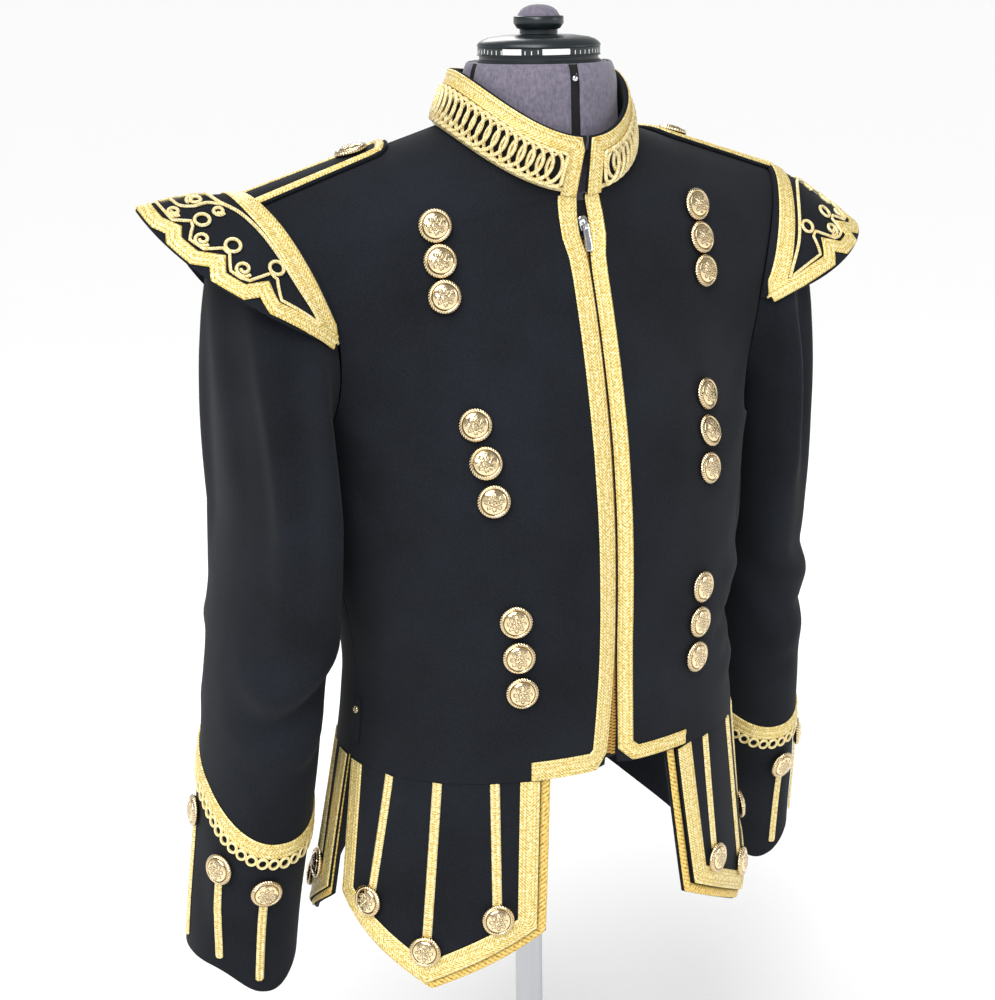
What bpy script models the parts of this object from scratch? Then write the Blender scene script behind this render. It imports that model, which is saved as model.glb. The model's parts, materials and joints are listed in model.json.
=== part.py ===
"""A military doublet on a limbless dress form, every piece at its real size in metres.

+Z is up, the garment faces -Y and the origin is the middle of the stand's underside. _R and _L are
the wearer's right (-X) and left (+X). Cloth walls are outer surfaces from short tables of sections,
thickened inwards. Trimming is made from the points of the panel under it, moved out.
"""
import math

import bmesh
import bpy
import numpy as np
from mathutils import Matrix, Vector

# Driving sizes
HEM = 0.42
WALL = 0.0022
SEAM = 0.0003
BRAID_WIDTH = 0.0145
BRAID_THICK = 0.0012
HEM_BRAID_HEIGHT = 0.013
EDGE_ROLL, EDGE_ROLL_WIDTH = 0.0045, 0.020
BUTTON_RADIUS = 0.0121
BUTTON_HEIGHT = 0.0062
SLIDER_H = 0.392
SIDES = (("R", -1.0), ("L", 1.0))

# The trunk from the waist hem to the armpit: height above the hem, half width and place of the
# side seam, then the front and back centre lines
BODY_COLUMNS = ("height", "side_x", "side_y", "front_y", "back_y")
BODY = (
    (0.000, 0.1610, -0.016, -0.1330, 0.101),
    (0.030, 0.1575, -0.018, -0.1352, 0.099),
    (0.060, 0.1540, -0.017, -0.1368, 0.102),
    (0.100, 0.1565, -0.015, -0.1382, 0.108),
    (0.140, 0.1635, -0.012, -0.1388, 0.114),
    (0.190, 0.1735, -0.006, -0.1372, 0.119),
    (0.235, 0.1800, -0.001, -0.1325, 0.122),
)
ARMPIT = 0.235

# Centre lines above the armpit
CENTRE_COLUMNS = ("height", "front_y", "back_y")
CENTRE = (
    (0.190, -0.1372, 0.119),
    (0.235, -0.1325, 0.122),
    (0.285, -0.1235, 0.122),
    (0.335, -0.1110, 0.117),
    (0.380, -0.0970, 0.107),
    (0.414, -0.0860, 0.095),
    (0.450, -0.0800, 0.073),
    (0.476, -0.0800, 0.050),
)

# Rows of a panel above the armpit: the armhole angle where the row ends, the place where it starts
# (a height on the centre line, or an angle round the neckline), how far it turns, and how much of
# its way back is a straight slope
FRONT_ROWS = (
    {"arm": 30, "height": 0.275, "turn": 80, "slope": 0.15},
    {"arm": 55, "height": 0.315, "turn": 70, "slope": 0.25},
    {"arm": 80, "height": 0.350, "turn": 60, "slope": 0.40},
    {"arm": 102, "height": 0.383, "turn": 55, "slope": 0.50},
    {"arm": 122, "neck": 3, "turn": 50, "slope": 0.60},
    {"arm": 130, "neck": 20, "turn": 48, "slope": 0.65},
    {"arm": 138, "neck": 36, "turn": 45, "slope": 0.70},
    {"arm": 144, "neck": 51, "turn": 45, "slope": 0.75},
    {"arm": 150, "neck": 66, "turn": 45, "slope": 0.80},
    {"arm": 162, "neck": 92, "turn": 45, "slope": 0.90},
    {"arm": 171, "neck": 101, "turn": 45, "slope": 1.0},
    {"arm": 180, "neck": 110, "turn": 45, "slope": 1.0},
)
BACK_ROWS = (
    {"arm": 330, "height": 0.275, "turn": 80, "slope": 0.10},
    {"arm": 305, "height": 0.315, "turn": 72, "slope": 0.10},
    {"arm": 280, "height": 0.352, "turn": 66, "slope": 0.15},
    {"arm": 258, "height": 0.388, "turn": 60, "slope": 0.20},
    {"arm": 238, "height": 0.420, "turn": 55, "slope": 0.30},
    {"arm": 222, "height": 0.448, "turn": 50, "slope": 0.40},
    {"arm": 210, "neck": 180, "turn": 45, "slope": 0.60},
    {"arm": 203, "neck": 152, "turn": 45, "slope": 0.80},
    {"arm": 198, "neck": 128, "turn": 45, "slope": 0.90},
    {"arm": 189, "neck": 119, "turn": 45, "slope": 1.0},
    {"arm": 180, "neck": 110, "turn": 45, "slope": 1.0},
)
STRAP_ROWS = 2

# Neckline and collar, an angle round them running from the front to the back centre
NECK = {"half_x": 0.0715, "half_y": 0.068, "centre_y": -0.018, "front_h": 0.4140, "rise": 0.0435, "dip": 0.003}
COLLAR_TOP = {"half_x": 0.0605, "half_y": 0.070, "centre_y": -0.026, "front_h": 0.4535, "rise": 0.0435, "dip": 0.006}
NECK_CREST = 105

# Armhole: an oval seen from the side, leaning out at the top
ARMHOLE = {"middle_y": 0.004, "middle_h": 0.3255, "half_y": 0.062, "half_h": 0.0905}
ARMHOLE_X, ARMHOLE_LEAN, ARMHOLE_TUCK = 0.1800, 0.034, 0.012

# Sleeve sections below the armhole: height above the hem, centre and half widths
# and how far the front edge is drawn in towards the body
SLEEVE_COLUMNS = ("height", "centre_x", "centre_y", "half_x", "half_y", "wrap")
SLEEVE = (
    (-0.200, 0.2370, 0.044, 0.0410, 0.048, 0.000),
    (-0.120, 0.2310, 0.036, 0.0405, 0.052, 0.000),
    (-0.050, 0.2245, 0.026, 0.0400, 0.058, 0.000),
    (0.030, 0.2170, 0.018, 0.0395, 0.064, 0.000),
    (0.070, 0.2140, 0.015, 0.0385, 0.069, 0.001),
    (0.105, 0.2110, 0.012, 0.0370, 0.075, 0.011),
    (0.145, 0.2100, 0.008, 0.0330, 0.080, 0.014),
    (0.190, 0.2090, 0.004, 0.0290, 0.084, 0.014),
)
BICEP = 0.190
SLEEVE_SEGMENTS = 16
CUFF_BRAID = 0.0125
CUFF_FRONT, CUFF_BACK = -0.0645, 0.0075
CUFF_LOW_ANGLE = 85
CUFF_END, CUFF_END_DIP = -0.160, 0.025
LOOP_DROP = 0.010
# Cuff bars: the sleeve angle of each bar at its button and at its low end
CUFF_BARS = ((100, 94), (152, 138), (197, 189))
CUFF_BUTTON_DROP, CUFF_BAR_END = 0.0285, 0.012
BAR_WIDTH = 0.006


def heights(columns, rows):
    """A table as one array per column name."""
    return {name: np.array([row[i] for row in rows]) for i, name in enumerate(columns)}


def follow(table, name, at):
    """A smooth value of one column at a height, through the table's own rows."""
    x, y = table["height"], table[name]
    slope = np.gradient(y, x)
    at = np.clip(at, x[0], x[-1])
    i = np.clip(np.searchsorted(x, at) - 1, 0, len(x) - 2)
    step = x[i + 1] - x[i]
    u = (at - x[i]) / step
    start = (1 + 2 * u) * (1 - u) ** 2 * y[i] + u * (1 - u) ** 2 * step * slope[i]
    return start + u * u * (3 - 2 * u) * y[i + 1] + u * u * (u - 1) * step * slope[i + 1]


BODY_TABLE = heights(BODY_COLUMNS, BODY)
CENTRE_TABLE = heights(CENTRE_COLUMNS, CENTRE)
SLEEVE_TABLE = heights(SLEEVE_COLUMNS, SLEEVE)


def front_gap(height):
    """Half the gap between the fronts: wider at the hem and round the zip's slider."""
    low = 0.0045 * max(0.0, 1 - height / 0.10) ** 1.5
    return 0.0012 + low + 0.0036 * math.exp(-(((height - SLIDER_H) / 0.016) ** 4))


def round_neck(oval, angle):
    """A point of the neckline or of the collar's top edge."""
    turn = math.radians(angle)
    climb = (1 - math.cos(math.pi * min(1.0, angle / NECK_CREST))) / 2
    past = max(0.0, angle - NECK_CREST) / (180 - NECK_CREST)
    height = oval["front_h"] + oval["rise"] * climb - oval["dip"] * past ** 2
    return np.array([oval["half_x"] * math.sin(turn),
                     oval["centre_y"] - oval["half_y"] * math.cos(turn), height])


def armhole(angle):
    """A point of the armhole: 0 at the armpit, 90 in front, 180 on the shoulder."""
    turn = math.radians(angle)
    lean = ARMHOLE_LEAN * ((1 - math.cos(turn)) / 2) ** 2
    return np.array([ARMHOLE_X + lean - ARMHOLE_TUCK * max(0.0, math.sin(turn)) ** 2,
                     ARMHOLE["middle_y"] - ARMHOLE["half_y"] * math.sin(turn),
                     ARMHOLE["middle_h"] - ARMHOLE["half_h"] * math.cos(turn)])


def bend(start, end, turn, slope, power=2.2, roll=0.0, steps=120):
    """A row of a panel from its centre edge to its outer edge, as closely spaced points.

    The first stretch may roll back towards the middle, as a front edge does over its zip.
    """
    theta = np.linspace(0, math.radians(turn), steps)
    across, along = np.sin(theta) ** (2 / power), 1 - np.cos(theta).clip(0) ** (2 / power)
    across, along = across / across[-1], along / along[-1]
    along = slope * across + (1 - slope) * along
    row = start + np.outer(across, end - start)
    row[:, 1] = start[1] + along * (end[1] - start[1])
    row[:, 1] += roll * (1 - (row[:, 0] - start[0]) / EDGE_ROLL_WIDTH).clip(0) ** 2
    return row


def spaced(row, stations):
    """Points of a row at given distances along it; negative ones are shares of what is left."""
    run = np.concatenate([[0], np.cumsum(np.linalg.norm(np.diff(row, axis=0), axis=1))])
    fixed = [s for s in stations if s >= 0]
    rest = [fixed[-1] + (run[-1] - fixed[-1]) * -s for s in stations if s < 0]
    return np.stack([np.interp(fixed + rest, run, row[:, k]) for k in range(3)], axis=1)


def trunk_row(height, front, gap=True):
    """A level row of the front or back panel below the armpit."""
    centre_y = follow(BODY_TABLE, "front_y" if front else "back_y", height)
    centre_x = front_gap(height) if front and gap else 0.0
    start = np.array([centre_x, centre_y, height])
    end = np.array([follow(BODY_TABLE, "side_x", height), follow(BODY_TABLE, "side_y", height), height])
    chest = max(0.0, height - 0.12) / (ARMPIT - 0.12)
    roll = EDGE_ROLL if front and gap else 0.0
    return bend(start, end, 90, (0.10 if front else 0.05) * chest, roll=roll)


def upper_row(row, front, gap=True):
    """A row of the front or back panel that ends at the armhole."""
    if "neck" in row:
        start = round_neck(NECK, row["neck"])
    else:
        centre_y = follow(CENTRE_TABLE, "front_y" if front else "back_y", row["height"])
        start = np.array([front_gap(row["height"]) if front and gap else 0.0, centre_y, row["height"]])
    roll = EDGE_ROLL if front and gap and row["arm"] < 125 else 0.0
    return bend(start, armhole(row["arm"]), row["turn"], row["slope"], 2.05, roll)


def panel(front, levels, stations, gap=True):
    """Grid of a panel's outer surface on the wearer's left, row by row from the hem."""
    rows = [trunk_row(h, front, gap) for h in levels]
    rows += [upper_row(row, front, gap) for row in (FRONT_ROWS if front else BACK_ROWS)]
    return np.array([spaced(row, stations) for row in rows])


def normals(grid, outward):
    """Unit normals of a grid, turned to the side of the given rough direction."""
    along = np.gradient(grid, axis=1)
    up = np.gradient(grid, axis=0)
    normal = np.cross(along, up)
    normal /= np.linalg.norm(normal, axis=2, keepdims=True) + 1e-12
    sign = np.sign((normal * outward).sum(axis=2, keepdims=True))
    return normal * np.where(sign == 0, 1, sign)


def moved(grid, normal, distance):
    """The grid moved along its normals."""
    return grid + normal * distance


# Collections and materials
def start_collections():
    """Empty scene with one collection for the parts."""
    for item in list(bpy.data.objects):
        bpy.data.objects.remove(item, do_unlink=True)
    parts = bpy.data.collections.new("military_doublet")
    bpy.context.scene.collection.children.link(parts)
    return parts


PARTS = start_collections()
FINISHES = {
    "cloth": ((0.020, 0.022, 0.028, 1), 0.85, 0.0),
    "braid": ((0.72, 0.50, 0.13, 1), 0.55, 0.0),
    "gilt": ((0.90, 0.70, 0.38, 1), 0.20, 1.0),
    "tape": ((0.012, 0.012, 0.014, 1), 0.90, 0.0),
    "nickel": ((0.70, 0.70, 0.72, 1), 0.25, 1.0),
    "jersey": ((0.15, 0.13, 0.18, 1), 0.90, 0.0),
    "plastic": ((0.040, 0.055, 0.060, 1), 0.35, 0.0),
    "steel": ((0.60, 0.60, 0.62, 1), 0.35, 1.0),
}


def material(name, finish):
    """A Principled material for one piece."""
    colour, roughness, metallic = FINISHES[finish]
    made = bpy.data.materials.new(name + "_" + finish)
    made.use_nodes = True
    shader = made.node_tree.nodes["Principled BSDF"]
    shader.inputs["Base Color"].default_value = colour
    shader.inputs["Roughness"].default_value = roughness
    shader.inputs["Metallic"].default_value = metallic
    return made


def add_piece(name, mesh, finish, matrix=None):
    """Put a mesh in the parts collection as one named piece."""
    piece = bpy.data.objects.new(name, mesh)
    PARTS.objects.link(piece)
    if not mesh.materials:
        mesh.materials.append(material(name, finish))
    if matrix is not None:
        piece.matrix_world = matrix
    return piece


def grid_mesh(name, grid, outward, closed=False, keep=None):
    """Open surface through a grid of points, its faces turned outwards."""
    rows, columns = grid.shape[:2]
    shape = bmesh.new()
    points = [[shape.verts.new(p) for p in row] for row in grid]
    last = columns if closed else columns - 1
    for i in range(rows - 1):
        for j in range(last):
            if keep is not None and not keep[i][j]:
                continue
            k = (j + 1) % columns
            shape.faces.new((points[i][j], points[i][k], points[i + 1][k], points[i + 1][j]))
    bmesh.ops.delete(shape, geom=[v for v in shape.verts if not v.link_faces], context="VERTS")
    bmesh.ops.remove_doubles(shape, verts=shape.verts, dist=0.00005)
    bmesh.ops.dissolve_degenerate(shape, edges=shape.edges, dist=0.00002)
    bmesh.ops.recalc_face_normals(shape, faces=shape.faces)
    total = 0.0
    for face in shape.faces:
        total += Vector(outward(face.calc_center_median())).dot(face.normal) * face.calc_area()
    if total < 0:
        bmesh.ops.reverse_faces(shape, faces=shape.faces)
    mesh = bpy.data.meshes.new(name)
    shape.to_mesh(mesh)
    shape.free()
    mesh.shade_smooth()
    return mesh


def thicken(piece, thickness, inwards=True):
    """Give an open surface its wall."""
    wall = piece.modifiers.new("wall", "SOLIDIFY")
    wall.thickness = thickness
    wall.offset = -1 if inwards else 1
    wall.use_even_offset = True
    return piece


def away_from(x, y):
    """Rough outward direction of a wall round an upright axis."""
    return lambda p: (p[0] - x, p[1] - y, 0.0)


def mirror(piece):
    """Complete a half that is open at the middle plane."""
    copy = piece.modifiers.new("other_half", "MIRROR")
    copy.use_axis = (True, False, False)
    copy.merge_threshold = 0.0001
    return piece


# Trunk panels
LEVELS = (0.0, HEM_BRAID_HEIGHT, 0.035, 0.060, 0.085, 0.112, 0.140, 0.170, 0.200, 0.226)
FRONT_STATIONS = (0.0, BRAID_WIDTH, 0.040, 0.064, -0.2, -0.4, -0.6, -0.8, -1.0)
BACK_STATIONS = (0.0, -0.12, -0.25, -0.38, -0.51, -0.64, -0.76, -0.88, -1.0)


def lifted_to_world(grid, side):
    """Heights above the hem become heights above the floor, on one side of the body."""
    world = grid.copy()
    world[..., 0] *= side
    world[..., 2] += HEM
    return world


def outward_field(grid):
    """Rough outward direction of each point of a trunk grid: sideways below, up near the shoulder."""
    out = grid - np.array([0.0, -0.01, 0.30])
    out[..., 2] = np.maximum(0.0, grid[..., 2] - 0.36) * 4
    return out


FRONT = panel(True, LEVELS, FRONT_STATIONS)
FRONT_NORMALS = normals(FRONT, outward_field(FRONT))
BACK = panel(False, LEVELS, BACK_STATIONS)
BACK_NORMALS = normals(BACK, outward_field(BACK))


def trimmed(grid, seam=SEAM * 1.7, arm_seam=SEAM * 3):
    """Pull a panel back from its outer edges, so that neighbours stand apart at the seams."""
    cut = grid.copy()
    step = cut[:, -2] - cut[:, -1]
    pull = np.where(np.arange(len(cut)) < len(LEVELS) - 3, seam, arm_seam)[:, None]
    cut[:, -1] += step / np.linalg.norm(step, axis=1, keepdims=True) * pull
    top = cut[-2] - cut[-1]
    cut[-1] += top / np.linalg.norm(top, axis=1, keepdims=True) * seam * 1.6
    return cut


def below_collar(grid, seam=SEAM):
    """Pull the neck edge of a panel out from the collar."""
    cut = grid.copy()
    step = cut[:, 1] - cut[:, 0]
    neck = np.abs(cut[:, 0, 0]) > 0.006
    cut[neck, 0] += (step / np.linalg.norm(step, axis=1, keepdims=True) * seam)[neck]
    return cut


def build_trunk():
    """The two fronts and the back."""
    for label, side in SIDES:
        name = "front_" + label
        grid = below_collar(trimmed(FRONT))
        mesh = grid_mesh(name, lifted_to_world(grid, side), away_from(0, 0.02))
        thicken(add_piece(name, mesh, "cloth"), WALL)
    grid = below_collar(trimmed(BACK))
    grid[:, 0, 0] = np.where(grid[:, 0, 0] < 0.001, 0.0, grid[:, 0, 0])
    mesh = grid_mesh("back", lifted_to_world(grid, 1), away_from(0, -0.05))
    back = mirror(add_piece("back", mesh, "cloth"))
    thicken(back, WALL)


def build_front_braid():
    """Braid down each front edge and along the first stretch of hem."""
    pit = len(LEVELS) + 4
    keep = [[j == 0 or (i == 0 and j < 3) for j in range(4)] for i in range(pit)]
    grid = moved(FRONT, FRONT_NORMALS, SEAM)[:pit + 1, :4]
    for label, side in SIDES:
        name = "front_braid_" + label
        mesh = grid_mesh(name, lifted_to_world(grid, side), away_from(0, 0.02), keep=keep)
        thicken(add_piece(name, mesh, "braid"), BRAID_THICK, inwards=False)


# Collar
COLLAR_ANGLES = (1.4, 20, 36, 51, 66, 79, 92, 110, 128, 140, 152, 166, 180)


def neck_edge(angle):
    """A point of the panels' neck edge, straight between the ends of their rows."""
    ends = sorted({row["neck"] for row in FRONT_ROWS + BACK_ROWS if "neck" in row})
    points = np.array([round_neck(NECK, end) for end in ends])
    return np.array([np.interp(angle, ends, points[:, k]) for k in range(3)])


def collar_grid():
    """Half of the collar from its bottom edge to its top edge, one column per angle."""
    rows = []
    for share in (0.0, 0.5, 1.0):
        row = [neck_edge(a) * (1 - share) + round_neck(COLLAR_TOP, a) * share for a in COLLAR_ANGLES]
        rows.append(row)
    grid = np.array(rows)
    grid[0, :, 2] += SEAM * 2
    grid[:, 0, 0] = (0.0042, 0.0030, 0.0016)
    grid[:, -1, 0] = 0.0
    return grid


def build_collar():
    """The stand collar and the braid that covers it, both mirrored at the back centre."""
    grid = collar_grid()
    out = grid - np.array([0.0, -0.02, 0.45])
    out[..., 2] = 0
    normal = normals(grid, out)
    normal[:, -1, 0] = 0
    raised = moved(grid, normal, SEAM * 1.5)
    raised[0, :, 2] += SEAM * 2
    for name, base, depth, inwards, finish in (
        ("collar", grid, WALL, True, "cloth"),
        ("collar_braid", raised, BRAID_THICK, False, "braid"),
    ):
        mesh = grid_mesh(name, lifted_to_world(base, 1), away_from(0, -0.02))
        thicken(mirror(add_piece(name, mesh, finish)), depth, inwards)


# Sleeves and cuffs
def sleeve_point(angle, height):
    """Outer surface of a sleeve below the bicep: 0 next to the body, 90 in front, 180 outside."""
    turn = math.radians(angle)
    power = 2 / 2.2
    across = math.copysign(abs(math.cos(turn)) ** power, math.cos(turn))
    along = math.copysign(abs(math.sin(turn)) ** power, math.sin(turn))
    x = follow(SLEEVE_TABLE, "centre_x", height) - follow(SLEEVE_TABLE, "half_x", height) * across
    y = follow(SLEEVE_TABLE, "centre_y", height) - follow(SLEEVE_TABLE, "half_y", height) * along
    return np.array([x - follow(SLEEVE_TABLE, "wrap", height) * max(0.0, along) ** 2, y, height])


def sleeve_head(angle, share):
    """Outer surface of the sleeve head, from the armhole (0) round its crown to the bicep (1)."""
    turn = math.radians(angle)
    start, end = armhole(angle), sleeve_point(angle, BICEP)
    crown = (1 - math.cos(turn)) / 2
    leave = np.array([0.030 + 0.085 * crown, -0.030 * math.sin(turn), -0.010 - 0.030 * crown])
    arrive = np.array([0.0, 0.0, -0.060 - 0.26 * crown])
    u = share
    return ((1 + 2 * u) * (1 - u) ** 2 * start + u * (1 - u) ** 2 * leave
            + u * u * (3 - 2 * u) * end + u * u * (u - 1) * arrive)


def cuff_line(angle, drop=0.0):
    """Height of the slanted cuff seam, lowest in front."""
    sway = (1 - math.cos(math.radians(angle - CUFF_LOW_ANGLE))) / 2
    return CUFF_FRONT + (CUFF_BACK - CUFF_FRONT) * sway - drop


def cuff_end(angle):
    """Height of the sleeve's open end, a little lower in front."""
    return CUFF_END - CUFF_END_DIP * max(0.0, math.cos(math.radians(angle - 80))) ** 4


def ring(height_of):
    """A ring of sleeve points at a height that may change with the angle."""
    angles = [360 * k / SLEEVE_SEGMENTS for k in range(SLEEVE_SEGMENTS)]
    return np.array([sleeve_point(a, height_of(a)) for a in angles])


def blended(level, share):
    """A level ring that turns into the slanted band's top edge."""
    return ring(lambda a: level * (1 - share) + cuff_line(a, -CUFF_BRAID) * share)


def sleeve_rings():
    """The sleeve from the armhole seam to the bottom of the cuff braid's band."""
    angles = [360 * k / SLEEVE_SEGMENTS for k in range(SLEEVE_SEGMENTS)]
    head = [np.array([sleeve_head(a, s) for a in angles]) for s in (0.0, 0.12, 0.28, 0.46, 0.64, 0.82)]
    head[0] += (head[1] - head[0]) * 0.09
    arm = [ring(lambda a, h=h: h) for h in (BICEP, 0.145, 0.105, 0.078)]
    arm.append(blended(0.050, 0.35))
    return head + arm + [ring(lambda a: cuff_line(a, -CUFF_BRAID)), ring(cuff_line)]


def cuff_rings():
    """The cuff from the seam under the band to its open end."""
    rows = [ring(lambda a: cuff_line(a, SEAM * 3)), ring(lambda a: cuff_line(a, LOOP_DROP))]
    for share in (0.5, 1.0):
        rows.append(ring(lambda a, s=share: cuff_line(a, LOOP_DROP) * (1 - s) + cuff_end(a) * s))
    return rows


def loop_normals(rings):
    """Unit normals of closed rings, pointing away from their middles."""
    along = np.roll(rings, -1, axis=1) - np.roll(rings, 1, axis=1)
    up = np.gradient(rings, axis=0)
    normal = np.cross(along, up)
    normal /= np.linalg.norm(normal, axis=2, keepdims=True)
    out = rings - rings.mean(axis=1, keepdims=True)
    return normal * np.sign((normal * out).sum(axis=2, keepdims=True))


def sleeve_outward(side):
    """Rough outward direction of a sleeve's wall."""
    return lambda p: (p[0] - side * 0.212, p[1] - 0.015, max(0.0, p[2] - HEM - 0.33) * 2)


def build_sleeves():
    """Two sleeves, open at the armhole, and their cuffs, open at the wrist."""
    for label, side in SIDES:
        for name, rings in (("sleeve_", sleeve_rings()), ("cuff_", cuff_rings())):
            grid = lifted_to_world(np.array(rings), side)
            mesh = grid_mesh(name + label, grid, sleeve_outward(side), closed=True)
            thicken(add_piece(name + label, mesh, "cloth"), WALL)


# Turned gilt buttons
BUTTON_PROFILE = (
    (0.0, BUTTON_HEIGHT),
    (BUTTON_RADIUS * 0.60, BUTTON_HEIGHT * 0.86),
    (BUTTON_RADIUS, BUTTON_HEIGHT * 0.32),
    (BUTTON_RADIUS * 0.88, 0.0),
    (0.0, 0.0),
)
BUTTON_STEPS = 12


def button_mesh(name="button"):
    """One domed button as a closed mesh, its back on the local XY plane."""
    profile = bpy.data.meshes.new(name + "_profile")
    points = [(x, 0.0, z) for x, z in BUTTON_PROFILE]
    profile.from_pydata(points, [(i, i + 1) for i in range(len(points) - 1)], [])
    holder = bpy.data.objects.new(name + "_profile", profile)
    bpy.context.scene.collection.objects.link(holder)
    turn = holder.modifiers.new("turn", "SCREW")
    turn.steps = turn.render_steps = BUTTON_STEPS
    turn.use_merge_vertices = True
    turn.merge_threshold = 0.00005
    turned = bpy.data.meshes.new_from_object(holder.evaluated_get(bpy.context.evaluated_depsgraph_get()))
    bpy.data.objects.remove(holder, do_unlink=True)
    turned.name = name
    turned.shade_smooth()
    return turned


def seated(place, normal):
    """Matrix that sets a turned piece on a surface point, its axis along the normal."""
    turn = Vector(normal).to_track_quat("Z", "Y").to_matrix().to_4x4()
    return Matrix.Translation(Vector(place)) @ turn


# Chest buttons: height above the hem and distance from the centre line, in three threes
BUTTON_ROWS = (
    {"top_h": 0.397, "top_x": 0.1065, "low_h": 0.350, "low_x": 0.1065},
    {"top_h": 0.263, "top_x": 0.0950, "low_h": 0.211, "low_x": 0.0890},
    {"top_h": 0.124, "top_x": 0.0780, "low_h": 0.070, "low_x": 0.0735},
)


def surface_at(front, x, height):
    """Point and normal of a trunk panel's outer facets at a given width and height."""
    grid, normal = (FRONT, FRONT_NORMALS) if front else (BACK, BACK_NORMALS)
    best = None
    for i in range(grid.shape[0] - 1):
        for j in range(grid.shape[1] - 1):
            corners = grid[[i, i, i + 1, i + 1], [j, j + 1, j + 1, j]]
            for a, b, c in ((0, 1, 2), (0, 2, 3)):
                tri = corners[[a, b, c]]
                flat = np.array([tri[1] - tri[0], tri[2] - tri[0]])[:, [0, 2]].T
                if abs(np.linalg.det(flat)) < 1e-12:
                    continue
                u, v = np.linalg.solve(flat, np.array([x, height]) - tri[0][[0, 2]])
                if u >= -1e-9 and v >= -1e-9 and u + v <= 1 + 1e-9:
                    picks = normal[[i, i, i + 1, i + 1], [j, j + 1, j + 1, j]][[a, b, c]]
                    mean = picks[0] * (1 - u - v) + picks[1] * u + picks[2] * v
                    best = (tri[0] + u * (tri[1] - tri[0]) + v * (tri[2] - tri[0]), mean)
    place, mean = best
    return place, mean / np.linalg.norm(mean)


def rise_over(place, normal, grid, reach):
    """How far a faceted surface rises above a tangent plane within a button's reach."""
    points = []
    for u in np.linspace(0, 1, 5):
        for v in np.linspace(0, 1, 5):
            low = grid[:-1, :-1] * (1 - u) + grid[:-1, 1:] * u
            high = grid[1:, :-1] * (1 - u) + grid[1:, 1:] * u
            points.append((low * (1 - v) + high * v).reshape(-1, 3))
    points = np.concatenate(points)
    near = points[np.linalg.norm(points - place, axis=1) < reach]
    return max([0.0] + list((near - place) @ normal))


def build_chest_buttons():
    """Two columns of nine buttons."""
    mesh = button_mesh("chest_button")
    for label, side in SIDES:
        number = 0
        for row in BUTTON_ROWS:
            for share in (0.0, 0.5, 1.0):
                number += 1
                x = row["top_x"] + (row["low_x"] - row["top_x"]) * share
                height = row["top_h"] + (row["low_h"] - row["top_h"]) * share
                place, normal = surface_at(True, x, height)
                lift = SEAM * 2.7 + rise_over(place, normal, FRONT, BUTTON_RADIUS)
                place, normal = place + normal * lift, normal * np.array([side, 1, 1])
                place = place * np.array([side, 1, 1]) + np.array([0, 0, HEM])
                name = "button_%s%d" % (label, number)
                add_piece(name, mesh, "gilt", seated(place, normal))


# Shoulder straps on the top rows of the fronts and the back
STRAP_FIRST = 2
STRAP_SHORT = 0.0045


def strap_grid():
    """Strap surface from the panels' own points: front rows up to the seam, then back rows down."""
    rows = STRAP_ROWS + 1
    front = moved(FRONT, FRONT_NORMALS, SEAM * 2)[-rows:, STRAP_FIRST:]
    back = resampled_back(moved(BACK, BACK_NORMALS, SEAM * 4)[-rows:])[:, STRAP_FIRST:]
    seam = (front[-1] + back[-1]) / 2
    grid = np.concatenate([front[:-1], seam[None], back[:-1][::-1]])
    step = grid[:, -2] - grid[:, -1]
    grid[:, -1] += step / np.linalg.norm(step, axis=1, keepdims=True) * STRAP_SHORT
    return grid


def resampled_back(rows):
    """The back's top rows with the front's column spacing."""
    return np.array([spaced(row, FRONT_STATIONS) for row in rows])


# Wings over the sleeve heads
WING_FRONT_ANGLE = 86
WING_COLUMNS = 16
WING = {"R": {"reach": 0.078, "fall": 0.005, "sag": 0.0180},
        "L": {"reach": 0.090, "fall": 0.058, "sag": 0.0}}
WING_BAND = 0.014
WING_BULGE = 0.003
WING_BACK_TRIM = 0.22
WING_LEAN = 0.042
WING_TEETH = 4


def wing_edge(u, spread):
    """Outer edge of a wing, u from -1 at the front tip to 1 at the back tip."""
    angle = 180 + u * (180 - WING_FRONT_ANGLE)
    inner = armhole(angle)
    width = math.cos(u * math.pi / 2) ** 0.75
    along = WING_LEAN * math.sin(u * math.pi / 2) ** 3
    wave = math.sin(math.pi * u)
    reach = spread["reach"] * (1 - WING_BACK_TRIM * max(0.0, wave))
    out = np.array([reach, along, -spread["fall"] * (1 - 0.4 * abs(u))])
    sag = spread["sag"] * max(0.0, -wave) ** 1.2
    return inner + out * width - np.array([0, 0, sag])


def wing_rows(u, spread):
    """Shares across the wing at u: the inner band, then the zigzag band along the outer edge."""
    width = max(0.02, np.linalg.norm(wing_edge(u, spread) - armhole(180 + u * (180 - WING_FRONT_ANGLE))))
    band = min(0.40, WING_BAND / width)
    swing = abs(((u + 1) / 2 * WING_TEETH) % 1 - 0.5) * 2
    outer = 1 - 0.16 * (1 - swing)
    inner = max(band + 0.06, outer - 0.013 / width)
    return (0.0, band, (band + inner) / 2, inner, outer, 1.0)


def wing_grid(spread):
    """Under side of a wing, moved off the sleeve head, crowned between its edges."""
    grid = []
    for k in range(WING_COLUMNS + 1):
        u = -1 + 2 * k / WING_COLUMNS
        angle = 180 + u * (180 - WING_FRONT_ANGLE)
        turn = math.radians(angle)
        inner, edge = armhole(angle), wing_edge(u, spread)
        radial = np.array([0.25, -math.sin(turn), -math.cos(turn)])
        radial /= np.linalg.norm(radial)
        width = math.cos(u * math.pi / 2)
        column = []
        for share in wing_rows(u, spread):
            crown = radial * (SEAM * 3 + WING_BULGE * width * 4 * share * (1 - share) * (1 - 0.3 * share))
            column.append(inner * (1 - share) + edge * share + crown)
        grid.append(column)
    return np.array(grid).transpose(1, 0, 2)


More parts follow.
